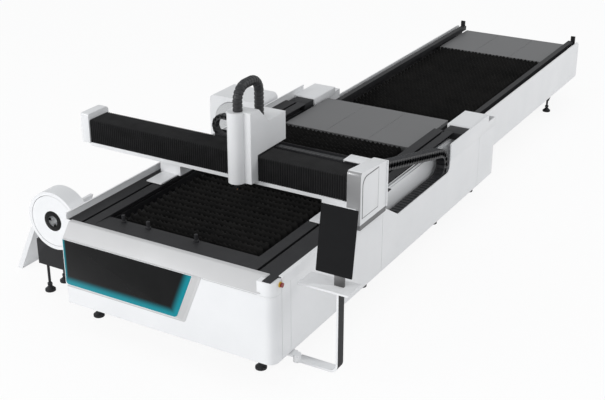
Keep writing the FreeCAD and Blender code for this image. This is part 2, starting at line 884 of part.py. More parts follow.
def pallet(name, front, tip):
    """A wheeled frame, its slats and the cover plates on its rear end."""
    beam = "pallet_beam"
    left = "pallet_middle - pallet_width / 2"
    right = "pallet_middle + pallet_width / 2"
    low = f"{tip} - frame_drop"
    top = f"{low} + pallet_frame_height"
    foot = f"{tip} - slat_height"
    rear = f"{front} + pallet_length"
    zone = f"{front} + slat_zone"
    third = "(pallet_width - 2 * seam_gap) / 3"
    pieces = [
        slab(left, f"{left} + {beam}", front, rear, low, top),
        slab(f"{right} - {beam}", right, front, rear, low, top),
        slab(left, right, front, f"{front} + {beam} / 2", low, top),
        slab(left, right, zone, f"{zone} + {beam}", low, top),
        slab(left, right, f"{rear} - {beam}", rear, low, top),
        slab(f"{left} + {beam} - 1", f"{left} + {beam} + 24", front, zone, f"{foot} - 24", foot),
        slab(f"{right} - {beam} - 24", f"{right} - {beam} + 1", front, zone, f"{foot} - 24", foot),
    ]
    for share in (0.25, 0.5, 0.75):
        y = f"{front} + {share} * slat_zone"
        pieces.append(slab(left, right, y, f"{y} + {beam} / 2", low, f"{foot} - 10"))
    for i in (1, 2):
        x = f"{left} + {i} * ({third} + seam_gap) - seam_gap / 2"
        pieces.append(slab(f"{x} - {beam} / 3", f"{x} + {beam} / 3", zone, rear, f"{top} - 40", top))
    axle = f"{tip} - axle_drop"
    for side in (-1, 1):
        x0, x1 = span(side, "pallet_width / 2 + wheel_gap", "pallet_width / 2 + wheel_gap + wheel_width")
        s0, s1 = span(side, "pallet_width / 2 - 1", "pallet_width / 2 + wheel_gap + 1")
        for share in (0.05, 0.35, 0.65, 0.95):
            y = f"{front} + {share} * pallet_length"
            pieces.append(rod("X", x0, y, axle, "wheel_radius", "wheel_width"))
            pieces.append(rod("X", s0, y, axle, "wheel_radius / 3", "wheel_gap + 2"))
    node(f"{name}_frame", joined(*pieces))

    start = number(f"{front} + {beam} / 2 + slat_pitch / 2")
    last = number(zone) - number("slat_thickness")
    ends = number(f"{left} + {beam} + seat"), number(f"{right} - {beam} - seat")
    combs = []
    while start + len(combs) * number("slat_pitch") < last:
        y = start + len(combs) * number("slat_pitch")
        combs.append(comb(*ends, y, number(foot), number(tip)))
    solid_node(f"{name}_slats", Part.makeCompound(combs))

    plates = []
    wall = "cover_plate_wall"
    high = f"{tip} - cover_plate_drop"
    for i in range(3):
        x = f"{left} + {i} * ({third} + seam_gap)"
        plate = slab(x, f"{x} + {third}", f"{zone} + {beam} / 3", rear, top, high)
        hollow = slab(f"{x} + {wall}", f"{x} + {third} - {wall}", f"{zone} + {beam} / 3 + {wall}",
                      f"{rear} - {wall}", f"{top} - 1", f"{high} - {wall}")
        plates.append(cut(plate, hollow))
    node(f"{name}_cover_plates", joined(*plates))


def changer_frame():
    pieces = []
    low = "changer_bottom + 20"
    high = "changer_top - track_height"
    front, rear = "bed_length + 20", "changer_end - track_end / 2"
    for side in (-1, 1):
        x0, x1 = span(side, "side_beam_inside", "changer_half_width - changer_skin")
        pieces.append(slab(x0, x1, front, rear, low, high))
    for y in ("changer_foot_first", "(changer_foot_first + changer_foot_last) / 2", "changer_foot_last"):
        pieces.append(slab(left_inside, right_inside, f"{y} - changer_tie / 2", f"{y} + changer_tie / 2",
                           low,
                           f"{low} + changer_tie"))
    pieces.append(slab(left_inside, right_inside, f"{rear} - changer_skin", rear, low, f"{low} + 215"))
    for side in (-1, 1):
        near, far = span(side, "side_beam_inside - 40", "side_beam_inside + 20")
        pieces.append(slab(near, far, f"{rear} - 28", rear, high, "changer_top + changer_beam_width"))
    return node("changer_frame", joined(*pieces))


def changer_side_panels():
    pieces = []
    for side in (-1, 1):
        x0, x1 = span(side, "changer_half_width - changer_skin", "changer_half_width")
        body = padded(
            "YZ",
            [("bed_length + 3", "changer_bottom"), ("changer_end", "changer_bottom"), ("changer_end",
                                                                                       "changer_top"),
             ("bed_length + 3", "changer_top")],
            "changer_skin", x0,
        )
        rear = number("changer_end") - number("origin_y")
        high = number("changer_top")

        def corner(a, b):
            at_rear = abs(a.y - rear) < 1e-6 and abs(b.y - rear) < 1e-6
            return at_rear and abs(a.z - high) < 1e-6 and abs(b.z - high) < 1e-6

        rounded_edges(body, "corner_radius", corner)
        pieces.append(body)
    return node("changer_side_panels", joined(*pieces))


# ---- feet ----------------------------------------------------------------------------------


def foot(x, y, top):
    pad = doc.addObject("Part::Cone", "pad")
    bind(pad, "Radius1", "foot_radius")
    bind(pad, "Radius2", "foot_radius * 0.6")
    bind(pad, "Height", "foot_pad")
    place(pad, x, y, "0")
    stem = rod("Z", x, y, "foot_pad - 1", "foot_stem", f"{top} - foot_pad + 1")
    nut = doc.addObject("Part::Prism", "nut")
    nut.Polygon = 6
    bind(nut, "Circumradius", "foot_stem * 1.9")
    bind(nut, "Height", "foot_nut")
    place(nut, x, y, "foot_pad - 1")
    return joined(pad, stem, nut)


def levelling_feet():
    feet = []
    for side, _, _ in sides:
        x = mirrored(side, "side_beam_inside + side_beam_width / 2")
        for y in ("frame_setback + foot_setback", "foot_second", "foot_third", "bed_length - cross_member"):
            feet.append(foot(x, y, "side_beam_foot"))
        x = mirrored(side, "side_beam_inside - foot_inset")
        for y in ("changer_foot_first", "changer_foot_last"):
            feet.append(foot(x, y, "changer_bottom + 20"))
    front, rear = "chuck_front + foot_inset", "base_rear - tie_width"
    for x, y in (("base_left + foot_inset", rear), ("base_left + foot_inset", front),
                 ("base_right - foot_inset", rear)):
        feet.append(foot(x, y, "base_bottom"))
    for y in ("feed_front + cross_member", "(feed_front + feed_rear) / 2", "feed_rear - cross_member"):
        for sign in (-1, 1):
            feet.append(foot(f"chuck_x + {sign} * (feed_half_width - tie_width)", y, "feed_foot"))
    return node("levelling_feet", joined(*feet))


# ---- gantry --------------------------------------------------------------------------------


def gantry_beam():
    """The welded box beam with the white lip that hangs below its bellows."""
    shell = slab("beam_left", "beam_right", "beam_front", "beam_rear", "beam_bottom", "beam_top")
    hollow = slab("beam_left - 1", "beam_right + 1", "beam_front + beam_wall", "beam_rear - beam_wall",
                  "beam_bottom + beam_wall", "beam_top - beam_wall")
    high = "bellows_bottom - seat"
    face = slab("beam_left", "bellows_right", "bellows_front + 2", "bellows_front + 2 + lip_sheet",
                f"{high} - lip_height", high)
    web = slab("beam_left", "bellows_right", "bellows_front + 2", "beam_front + 20",
               f"{high} - lip_sheet", high)
    hanger = slab("beam_left", "bellows_right", "beam_front + 8", "beam_front + 20", f"{high} - 1",
                  "beam_bottom")
    return node("gantry_beam", joined(cut(shell, hollow), face, web, hanger))


def beam_end_cap():
    body = padded(
        "YZ",
        [("bellows_front - 6", "bellows_bottom - 10"), ("bellows_rear + 20", "bellows_bottom - 10"),
         ("bellows_rear + 20", "bellows_top + 8"), ("bellows_front - 6", "bellows_top + 8")],
        "cap_thickness", "beam_left - cap_thickness",
    )
    rear = number("bellows_rear + 20") - number("origin_y")

    def back(a, b):
        return abs(a.y - rear) < 1e-6 and abs(b.y - rear) < 1e-6 and abs(a.x - b.x) > 10

    rounded_edges(body, "cap_round", back)
    return node("beam_end_cap", body)


x_rail_levels = ("beam_bottom + x_rail_inset", "beam_top - x_rail_inset - x_rail_width")
carriage_left = "head_middle - head_width / 2 + carriage_clear"
carriage_right = "head_middle + head_width / 2 - carriage_clear"


def x_rails():
    along = ("beam_left + 10", "bellows_right - 10")
    front = [slab(*along, "beam_front - x_rail_height", "beam_front", z,
                  f"{z} + x_rail_width") for z in x_rail_levels]
    node("x_guide_rails", joined(*front))
    rack = slab(*along, "beam_rear - 60", "beam_rear - 40", "beam_top", "beam_top + x_rail_height")
    node("x_rack", rack)


def bellows(name, x0, x1):
    """A pleated cover over the beam's front, top and rear, as one folded wall."""
    pitch = number("pleat_pitch")
    count = max(2, round((x1 - x0) / pitch))
    step = (x1 - x0) / (2 * count)
    front, rear = number("bellows_front"), number("bellows_rear")
    foot, top = number("bellows_bottom"), number("bellows_top")
    depth, wall = number("pleat_depth"), number("bellows_wall")

    def ring(x, sink, inner):
        e = sink + (wall if inner else 0)
        return [point(x, front + e, foot), point(x, front + e, top - e), point(x, rear - e, top - e),
                point(x, rear - e, foot)]

    faces = []
    outers = []
    inners = []
    for i in range(2 * count + 1):
        x = x0 + i * step
        sink = depth if i % 2 == 0 else 0
        outers.append(ring(x, sink, False))
        inners.append(ring(x, sink, True))

    def quad(a, b, c, d):
        for tri in ((a, b, c), (a, c, d)):
            faces.append(Part.Face(Part.makePolygon([*tri, tri[0]])))

    def flat(a, b, c, d):
        faces.append(Part.Face(Part.makePolygon([a, b, c, d, a])))

    for i in range(2 * count):
        for rings in (outers, inners):
            p, q = rings[i], rings[i + 1]
            for k in range(3):
                quad(p[k], p[k + 1], q[k + 1], q[k])
        a, b, c, d = outers[i], outers[i + 1], inners[i], inners[i + 1]
        flat(a[0], b[0], d[0], c[0])
        flat(a[3], b[3], d[3], c[3])
    for i in (0, 2 * count):
        a, c = outers[i], inners[i]
        for k in range(3):
            flat(a[k], a[k + 1], c[k + 1], c[k])
    solid = Part.Solid(Part.Shell(faces))
    if solid.Volume < 0:
        solid.reverse()
    solid_node(name, solid)


def carriage_plate():
    """The carriage that straddles the beam between the two bellows and carries the head."""
    x0, x1 = carriage_left, carriage_right
    front = slab(x0, x1, "bellows_front - 2", "bellows_front + 20", "beam_bottom", "bellows_top + 6")
    top = slab(x0, x1, "bellows_front - 2", "bellows_rear - 2", "bellows_top - 20", "bellows_top + 6")
    pieces = [front, top]
    gap = "running_gap"
    for z in x_rail_levels:
        for share in (0.05, 0.6):
            x = f"{x0} + {share} * ({x1} - ({x0}))"
            block = slab(x, f"{x} + 0.35 * ({x1} - ({x0}))", "bellows_front + 19", "beam_front - 3",
                         f"{z} - 16",
                         f"{z} + x_rail_width + 16")
            groove = slab(f"{x} - 1", f"{x} + 0.4 * ({x1} - ({x0}))", f"beam_front - x_rail_height - {gap}",
                          "beam_front", f"{z} - {gap}", f"{z} + x_rail_width + {gap}")
            pieces.append(cut(block, groove))
    return node("carriage_plate", joined(*pieces))


def right_housing():
    """The folded cover over the beam's right end, whose skirt hangs outside the bed."""
    wall = "housing_wall"
    inside = "bellows_right + seat"
    foot = "beam_bottom + seat"
    points = [
        (inside, foot), (inside, "housing_top"), ("housing_right", "housing_top"),
        ("housing_right", "housing_skirt"), (f"housing_right - 2 * {wall}", "housing_skirt"),
        (f"housing_right - 2 * {wall}", f"housing_top - 2 * {wall}"), (f"{inside} + {wall}",
        f"housing_top - 2 * {wall}"), (f"{inside} + {wall}", foot),
    ]
    body = padded("XZ", points, "housing_rear - housing_front", "-housing_rear")
    rounded_edges(body, "housing_round", level_at("housing_right", "housing_top"))
    plates = []
    for y in ("housing_front", f"housing_rear - {wall}"):
        plates.append(slab(f"{inside} + {wall} - 1", f"housing_right - {wall}", y, f"{y} + {wall}", foot,
                           f"housing_top - 2 * {wall} + 1"))
        plates.append(slab("bed_right + band_proud + 4", f"housing_right - {wall}", y, f"{y} + {wall}",
                           "housing_skirt", f"{foot} + 1"))
    hood_left = f"{right_inside} + 30"
    hood_front = "bellows_rear + 2"
    hood_rear = "bellows_rear + 140"
    plates.append(slab(hood_left, f"{inside} + {wall}", hood_front, hood_rear, f"housing_top - {wall}",
                       "housing_top"))
    plates.append(slab(hood_left, f"{hood_left} + skin", hood_front, hood_rear, "trough_rim + seat",
                       "housing_top"))
    plates.append(slab(hood_left, f"{inside} + {wall}", f"{hood_rear} - skin", hood_rear,
                       "trough_rim - trough_depth",
                       "housing_top"))
    ring = "2"
    doorway = slab("bellows_right - 1", f"{inside} + {wall} + 1", f"beam_front - {ring}",
                   f"beam_rear + {ring}",
                   "beam_bottom - 1", f"beam_top + {ring}")
    return node("right_housing", cut(joined(body, *plates), doorway))


def saddles():
    """A saddle on each rail: two ball blocks, a web through the cover's slot, a skirt and a column."""
    for side, _, rail in sides:
        if side < 0:
            column_span = ("bed_left + 70", f"{left_inside} + 74")
            skirt = ("bed_left + 100", f"{left_inside} + 40")
        else:
            column_span = (f"{right_inside} + 54", "bed_right - rim_lip - 6")
            skirt = (f"{right_inside} - 22", "bed_right - rim_lip - 6")
        column = slab(*column_span, "beam_front - 30", "beam_rear + 30", "saddle_foot", "beam_bottom")
        lip_room = slab(f"{column_span[0]} - 1", f"{column_span[1]} + 1", "beam_front - 31",
                        "beam_front + 22",
                        "bellows_bottom - lip_height - 2", "beam_bottom + 1")
        column = cut(column, lip_room)
        plate = slab(*skirt, "saddle_skirt_front", "saddle_skirt_rear", "saddle_foot", "saddle_foot + 12")
        web = slab(f"{rail} - cover_slot / 2 + 5", f"{rail} + cover_slot / 2 - 5",
                   "saddle_skirt_front + 100",
                   "saddle_skirt_rear - 100", "side_beam_top + block_height", "saddle_foot + 1")
        pieces = [column, plate, web]
        if side > 0:
            pieces.append(slab(f"{right_inside} - 33", "bed_right + band_proud", "bellows_front - 4",
                               "bellows_front + 1", "saddle_foot + 70", "bellows_bottom - 2"))
            pieces.append(slab(f"{right_inside} + 61", "bed_right - rim_lip - 6", "bellows_front - 4",
                               "beam_front - 29", "saddle_foot + 70", "saddle_foot + 90"))
        for y in ("saddle_skirt_front + 60", "saddle_skirt_rear - 60 - block_length"):
            block = slab(f"{rail} - block_width / 2", f"{rail} + block_width / 2", y, f"{y} + block_length",
                         "side_beam_top + 4", "side_beam_top + block_height + 1")
            groove = slab(f"{rail} - rail_width / 2 - running_gap", f"{rail} + rail_width / 2 + running_gap",
                          f"{y} - 1", f"{y} + block_length + 1", "side_beam_top + 3",
                          "side_beam_top + rail_height + running_gap")
            pieces.append(cut(block, groove))
        node("left_saddle" if side < 0 else "right_saddle", joined(*pieces))


def gantry_motors():
    """Servo motors with their gearboxes, one on each saddle behind the beam."""
    pieces = []
    front = "beam_rear + motor_setback"
    foot = "saddle_foot + saddle_plate"
    for x in (left_rail, f"{right_rail} + motor_setback"):
        pieces.append(slab(f"{x} - gearbox_width / 2", f"{x} + gearbox_width / 2", front,
                           f"{front} + gearbox_length",
                           foot, f"{foot} + gearbox_height"))
        pieces.append(rod("Z", x, f"{front} + gearbox_length / 2", f"{foot} + gearbox_height - 1",
                          "motor_radius",
                          "motor_height"))
    return node("gantry_motors", joined(*pieces))


def chain_trough():
    """The sheet tray behind the beam that the head's drag chain lies in, on arms from under the beam."""
    y0, y1 = "bellows_rear + 4", "bellows_rear + trough_width"
    floor = "trough_floor"
    sheet_wall = "lip_sheet"
    left = "trough_left"
    pieces = [
        slab(left, "bellows_right", y0, y1, floor, f"{floor} + {sheet_wall}"),
        slab(left, "bellows_right", f"{y1} - {sheet_wall}", y1, floor, "trough_rim"),
        slab(left, "bellows_right", y0, f"{y0} + {sheet_wall}", floor, "trough_rim - 3 * lip_sheet"),
    ]
    low = "bellows_bottom - 4 * lip_sheet"
    for x in (f"{left} + 2 * trough_arm", "(trough_left + bellows_right) / 2",
              f"{right_inside} - trough_arm"):
        wide = (x, f"{x} + trough_arm")
        pieces.append(slab(*wide, "beam_rear - 90", "beam_rear - 20", f"{low} + 9", "beam_bottom"))
        pieces.append(slab(*wide, "beam_rear - 90", f"{y0} + 12", low, f"{low} + 10"))
        pieces.append(slab(*wide, y0, f"{y0} + 12", low, f"{floor} + 1"))
    return node("chain_trough", joined(*pieces))


def chain_path(start_y, bend_y, end_y, low, radius, pitch, rise):
    """Points along a lower run, a half turn and an upper run, in the chain's own plane."""
    points = []
    count = max(1, round(abs(bend_y - start_y) / pitch))
    for i in range(count + 1):
        points.append((start_y + (bend_y - start_y) * i / count, low))
    sign = 1 if bend_y > start_y else -1
    turns = max(4, round(math.pi * radius / pitch))
    end_angle = math.pi - rise
    for i in range(1, turns + 1):
        angle = end_angle * i / turns
        points.append((bend_y + sign * radius * math.sin(angle), low + radius - radius * math.cos(angle)))
    last = points[-1]
    run = abs(end_y - last[0])
    slope = math.tan(rise)
    count = max(1, round(run / pitch))
    for i in range(1, count + 1):
        y = last[0] + (end_y - last[0]) * i / count
        points.append((y, last[1] + abs(y - last[0]) * slope))
    return points


def y_drag_chain():
    """The chain on the bed's right side: anchored run, bend, and a rising run to the gantry."""
    x0 = number(f"{chain_inside} + skin + 2 * chain_clear")
    x1 = x0 + number("chain_width")
    half = number("chain_height") / 2
    low = number("chain_floor + seat") + half
    radius = number("chain_bend_radius")
    bend_y = number("chain_bend_y")
    rear = number("housing_rear")
    rise = math.atan2(number("housing_top - chain_entry") - low - 2 * radius, bend_y - rear)
    path = chain_path(number("chain_anchor"), bend_y, rear + number("chain_end_run"), low, radius,
                      number("chain_pitch"), rise)
    path.append((rear + number("seat"), path[-1][1]))
    solid_node("y_drag_chain", notched(path, half, x0, x1, lambda a, u, v: point(a, u, v)))


def notched(path, half, a0, a1, to_vector):
    """The chain as one solid whose edges step in between the links, seen from its side."""
    size = [math.hypot(b[0] - a[0], b[1] - a[1]) for a, b in zip(path[:-1], path[1:])]
    normals = [(-(b[1] - a[1]) / n, (b[0] - a[0]) / n) for a, b, n in zip(path[:-1], path[1:], size)]
    edges = ([], [])
    for side, edge in ((1, edges[0]), (-1, edges[1])):
        for i, (a, b) in enumerate(zip(path[:-1], path[1:])):
            before = normals[max(0, i - 1)]
            after = normals[min(len(normals) - 1, i + 1)]
            here = normals[i]
            mitre = (before[0] + here[0], before[1] + here[1])
            turned = math.acos(min(1.0, before[0] * here[0] + before[1] * here[1]))
            sunk = side * half * 0.82 / math.cos(turned / 2) / math.hypot(*mitre)
            edge.append((a[0] + mitre[0] * sunk, a[1] + mitre[1] * sunk))
            for share, other in ((0, before), (1, after)):
                bend = math.acos(min(1.0, other[0] * here[0] + other[1] * here[1]))
                inset = 0.09 + half * math.tan(bend / 2) / size[i]
                t = inset if share == 0 else 1 - inset
                edge.append((a[0] + (b[0] - a[0]) * t + here[0] * side * half,
                             a[1] + (b[1] - a[1]) * t + here[1] * side * half))
        end, here = path[-1], normals[-1]
        edge.append((end[0] + here[0] * side * half * 0.82, end[1] + here[1] * side * half * 0.82))
    loop = edges[0] + edges[1][::-1]
    corners = [to_vector(a0, u, v) for u, v in loop]
    face = Part.Face(Part.makePolygon(corners + corners[:1]))
    return face.extrude(to_vector(a1, 0, 0) - to_vector(a0, 0, 0))


def x_drag_chain():
    """The head's chain: a run in the trough, a bend beyond the head, and a run back to its cover."""
    half = number("x_chain_height") / 2
    y0 = number("bellows_rear + 4 + lip_sheet + 2 * chain_clear")
    y1 = y0 + number("x_chain_width")
    low = number("trough_floor + lip_sheet + seat") + half
    end = number("head_middle - head_width / 2 - seat")
    path = chain_path(number("bellows_right - 60"), number("x_chain_bend_x"), end, low,
                      number("x_chain_bend_radius"), number("x_chain_pitch"), 0.0)
    solid_node("x_drag_chain", notched(path, half, y0, y1, lambda a, u, v: point(u, a, v)))


# ---- cutting head --------------------------------------------------------------------------


def head_cover():
    """The head's white cover: a half-round column in front and a box that straddles the beam."""
    left, right = "head_middle - head_width / 2", "head_middle + head_width / 2"
    column_back = "bellows_front - 3"
    column = rod("Z", "column_middle", "column_axis", "column_bottom", "column_radius",
                 "column_top - column_bottom")
    web = slab("column_middle - column_radius", "column_middle + column_radius", "column_axis",
               column_back, "column_bottom", "column_top")
    cheek = slab("column_middle", right, "column_axis", column_back, "column_bottom",
                 "head_box_foot + 1")
    box = padded(
        "YZ",
        [("column_axis", "head_box_foot"), ("head_box_rear", "head_box_foot"),
         ("head_box_rear", "head_box_top"), ("head_slope_rear", "head_box_top"), ("head_slope_front",
                                                                                  "column_top"),
         ("column_axis", "column_top")],
        "head_width", left,
    )
    solid = joined(column, web, cheek, box)
    bore = rod("Z", "column_middle", "column_axis", "column_bottom - 1", "cutter_radius + 8",
               "cutter_top - column_bottom + 41")
    slot = slab("column_middle - slide_half - 6", "column_middle + slide_half + 6", "column_axis",
                f"{column_back} + 1", "column_bottom - 1", "head_box_foot - 1")
    return node("head_cover", cut(solid, bore, slot))


def cutting_head():
    x, y = "column_middle", "column_axis"
    body = rod("Z", x, y, "column_bottom + 10", "cutter_radius", "cutter_top - column_bottom - 10")
    neck = rod("Z", x, y, "column_bottom - 24", "cutter_radius * 0.8", "35")
    cone = doc.addObject("Part::Cone", "cone")
    bind(cone, "Radius1", "cutter_radius * 0.35")
    bind(cone, "Radius2", "cutter_radius * 0.8")
    bind(cone, "Height", "column_bottom - 24 - nozzle_tip - nozzle_length")
    place(cone, x, y, "nozzle_tip + nozzle_length")
    slide = slab("column_middle - slide_half", "column_middle + slide_half", y,
                 "bellows_front - 2 - running_gap",
                 "slide_foot", "slide_foot + slide_length")
    node("cutting_head", joined(body, neck, cone, slide))
    tip = doc.addObject("Part::Cone", "tip")
    bind(tip, "Radius1", "cutter_radius * 0.12")
    bind(tip, "Radius2", "cutter_radius * 0.3")
    bind(tip, "Height", "nozzle_length")
    place(tip, x, y, "nozzle_tip")
    node("nozzle", tip)


def head_conduit():
    """The ribbed conduit that arches from the column's top to the box behind it, with its bore."""
    x = number("head_middle - conduit_offset")
    front, rear = number("conduit_front_y"), number("conduit_rear_y")
    foot, rear_foot = number("column_top + seat"), number("head_box_top + seat")
    tube, rib = number("conduit_radius"), number("conduit_rib")
    spring = foot + 2 * tube
    bend = number("conduit_top") - tube - spring
    quarter = bend * math.pi / 2
    stretches = ((2 * tube, False), (quarter, True), (rear - front - 2 * bend, False), (quarter, True),
                 (spring - rear_foot, False))
    total = sum(length for length, _ in stretches)

    def ring(distance, radius):
        """A circle round the middle line, at a distance along it from the front foot."""
        y, z, heading = front, foot, math.pi / 2
        for i, (length, turns) in enumerate(stretches):
            step = distance if i == len(stretches) - 1 else min(distance, length)
            distance -= step
            if turns:
                middle_y, middle_z = y + bend * math.sin(heading), z - bend * math.cos(heading)
                heading -= step / bend
                y, z = middle_y - bend * math.sin(heading), middle_z + bend * math.cos(heading)
            else:
                y, z = y + step * math.cos(heading), z + step * math.sin(heading)
            if distance == 0:
                break
        wire = Part.Wire(Part.makeCircle(radius))
        tilt = FreeCAD.Rotation(Vector(1, 0, 0), math.degrees(heading) - 90)
        wire.Placement = FreeCAD.Placement(point(x, y, z), tilt)
        return wire

    count = round(total / number("conduit_pitch"))
    pitch = total / count
    rings = []
    for i in range(count):
        for share, radius in ((0, tube - rib), (0.12, tube), (0.62, tube), (0.74, tube - rib)):
            rings.append(ring((i + share) * pitch, radius))
    rings.append(ring(total, tube - rib))
    hose = Part.makeLoft(rings, True, True)
    inside = tube - rib - number("conduit_wall")
    bore = Part.makeLoft([ring(i * pitch, inside) for i in range(count + 1)], True, True)
    hollow = hose.cut(bore)
    expected = math.pi * ((tube - rib) ** 2 - inside ** 2) * total
    if not expected < hollow.Volume < 2 * expected:
        raise RuntimeError("the conduit's volume is wrong")
    print("conduit:", count, "ribs, middle line", round(total), "mm, bend radius", round(bend), "mm")
    solid_node("head_conduit", hollow)


# ---- tube station --------------------------------------------------------------------------


barrel = "chuck_bore + barrel_wall"
feed_rails = ("chuck_x - feed_rail_offset", "chuck_x + feed_rail_offset")


def chuck_base():
    base = slab("base_left", "base_right", "chuck_front + 20", "base_rear", "base_bottom",
                "chuck_z - base_drop")
    cradle = slab("chuck_x - cradle_half", "chuck_x + cradle_half", "chuck_front + 20",
                  "chuck_front + chuck_depth - 10", "chuck_z - base_drop - 1", "chuck_z - cradle_drop")
    bowl = rod("Y", "chuck_x", "chuck_front - 5", "chuck_z", "chuck_radius + seat", "chuck_depth + 20")
    ties = []
    knee = f"{left_outside} + tie_reach"
    for y in ("chuck_front + foot_inset", "base_rear - tie_width - 30"):
        along = (y, f"{y} + tie_width")
        ties.append(slab("base_right - 1", knee, *along, "base_bottom + 3", "panel_bottom - skin"))
        ties.append(slab(f"{left_outside} + 1", knee, *along, "panel_bottom - skin - 1", "side_beam_foot"))
    return node("chuck_base", joined(cut(joined(base, cradle), bowl), *ties))


def across(radius, reach, half):
    """The four directions from the chuck's middle, each as the X and Z limits of a bar along it."""
    bars = []
    for along, cross in (("chuck_x", "chuck_z"), ("chuck_z", "chuck_x")):
        for sign in (1, -1):
            ends = (f"{along} + {sign} * ({radius})", f"{along} + {sign} * ({reach})")[::sign]
            sides_of_bar = (f"{cross} - ({half})", f"{cross} + {half}")
            bars.append((ends, sides_of_bar) if along == "chuck_x" else (sides_of_bar, ends))
    return bars


def front_chuck():
    body = rod("Y", "chuck_x", "chuck_front + 12", "chuck_z", "chuck_radius", "chuck_depth - 12")
    rim = rod("Y", "chuck_x", "chuck_front", "chuck_z", "chuck_radius", "14")
    well = rod("Y", "chuck_x", "chuck_front - 1", "chuck_z", "rotor_radius + 4", "96")
    bore = rod("Y", "chuck_x", "chuck_front - 1", "chuck_z", f"{barrel} + running_gap", "chuck_depth + 2")
    node("front_chuck_housing", cut(joined(body, rim), well, bore))
    face = rod("Y", "chuck_x", "chuck_front + 2", "chuck_z", "rotor_radius", "88")
    tube = rod("Y", "chuck_x", "chuck_front + 80", "chuck_z", barrel, "chuck_depth - 70")
    hole = rod("Y", "chuck_x", "chuck_front - 1", "chuck_z", "chuck_bore", "chuck_depth + 40")
    front, rear = "chuck_front + jaw_sink", "chuck_front + jaw_sink + jaw_thickness"
    slots = [
        slab(*xs, f"{front} - running_gap", f"{rear} + running_gap", *zs)
        for xs, zs in across("0", "chuck_bore + jaw_length", "jaw_width / 2 + running_gap")
    ]
    node("front_chuck_rotor", cut(joined(face, tube), hole, *slots))
    bars = across("jaw_reach", "jaw_reach + jaw_length", "jaw_width / 2")
    for name, (xs, zs) in zip(("right_jaw", "left_jaw", "upper_jaw", "lower_jaw"), bars):
        node(name, slab(*xs, front, rear, *zs))


def discharge_chute():
    """The folded sheet that cut tubes slide down, from the chuck to the floor on its left."""
    rear = "chute_front + chute_length"
    lip = "base_left - chute_lip"
    toe = "base_left - chute_throw"
    body = padded(
        "XZ",
        [(lip, "chute_top"), (f"{lip} - chute_arm", "chute_top - chute_sheet"), (toe, "0"),
         (f"{toe} + chute_sheet", "0"), (f"{lip} + 10", "chute_top - 80"), (f"{lip} + 38", "chute_top")],
        "chute_length", f"-({rear})",
    )
    arm = slab(lip, "base_left", "chute_front + 10", "chute_front + 10 + chute_arm",
               "chute_top - chute_sheet",
               "chute_top - 4")
    return node("discharge_chute", joined(body, arm))


def feed_bed():
    """The low side bed that carries the rear chuck, with its two rails."""
    x0, x1 = "chuck_x - feed_half_width", "chuck_x + feed_half_width"
    bed = slab(x0, x1, "feed_front", "feed_rear", "feed_foot", "feed_top")
    rails = []
    for x in feed_rails:
        rails.append(slab(f"{x} - feed_rail_half", f"{x} + feed_rail_half", "feed_front + rail_end",
                          "feed_rear - rail_end", "feed_top - 1", "feed_top + feed_rail_height"))
    ties = []
    knee = f"{left_outside} + feed_tie"
    for y in ("feed_front + feed_tie_setback", "feed_rear - feed_tie_setback - feed_tie"):
        along = (y, f"{y} + feed_tie")
        ties.append(slab(f"{x1} - 1", knee, *along, "panel_bottom - feed_tie", "panel_bottom - skin"))
        ties.append(slab(f"{left_outside} + 1", knee, *along, "panel_bottom - skin - 1", "side_beam_foot"))
    return node("feed_bed", joined(bed, *rails, *ties))


def rear_chuck():
    y0, y1 = "rear_chuck_front", "rear_chuck_front + rear_chuck_depth"
    left, right = "chuck_x - rear_chuck_half", "chuck_x + rear_chuck_half"
    foot = "feed_top + rear_chuck_lift"
    body = padded(
        "XZ",
        [(left, foot), (right, foot), (right, "rear_chuck_top"), (left, "rear_chuck_top")],
        "rear_chuck_depth", f"-({y1})",
    )
    high = number("rear_chuck_top")

    def upper(a, b):
        return abs(a.z - high) < 1e-6 and abs(b.z - high) < 1e-6 and abs(a.y - b.y) > 10

    rounded_edges(body, "rear_chuck_round", upper)
    bore = rod("Y", "chuck_x", f"{y0} - 1", "chuck_z", f"{barrel} + running_gap", "rear_chuck_depth + 2")
    well = rod("Y", "chuck_x", f"{y0} - 1", "chuck_z", "rotor_radius + 4", "61")
    shoes = []
    gap = "running_gap"
    for x in feed_rails:
        shoe = slab(f"{x} - 40", f"{x} + 40", f"{y0} + 40", f"{y1} - 40", "feed_top + 2", f"{foot} + 1")
        groove = slab(f"{x} - feed_rail_half - {gap}", f"{x} + feed_rail_half + {gap}", f"{y0} + 39",
                      f"{y1} - 39",
                      "feed_top + 1", f"feed_top + feed_rail_height + {gap}")
        shoes.append(cut(shoe, groove))
    node("rear_chuck_housing", cut(joined(body, *shoes), bore, well))
    face = rod("Y", "chuck_x", f"{y0} - 6", "chuck_z", "rotor_radius", "64")
    tube = rod("Y", "chuck_x", f"{y0} + 50", "chuck_z", barrel, "rear_chuck_depth - 40")
    hole = rod("Y", "chuck_x", f"{y0} - 10", "chuck_z", "chuck_bore", "rear_chuck_depth + 40")
    jaws = [
        slab(*xs, f"{y0} + 6", f"{y0} + 6 + jaw_thickness", *zs)
        for xs, zs in across("rear_jaw_reach", "chuck_bore + 5", "jaw_width / 2")
    ]
    node("rear_chuck_rotor", joined(cut(joined(face, tube), hole), *jaws))


# ---- operator console ----------------------------------------------------------------------


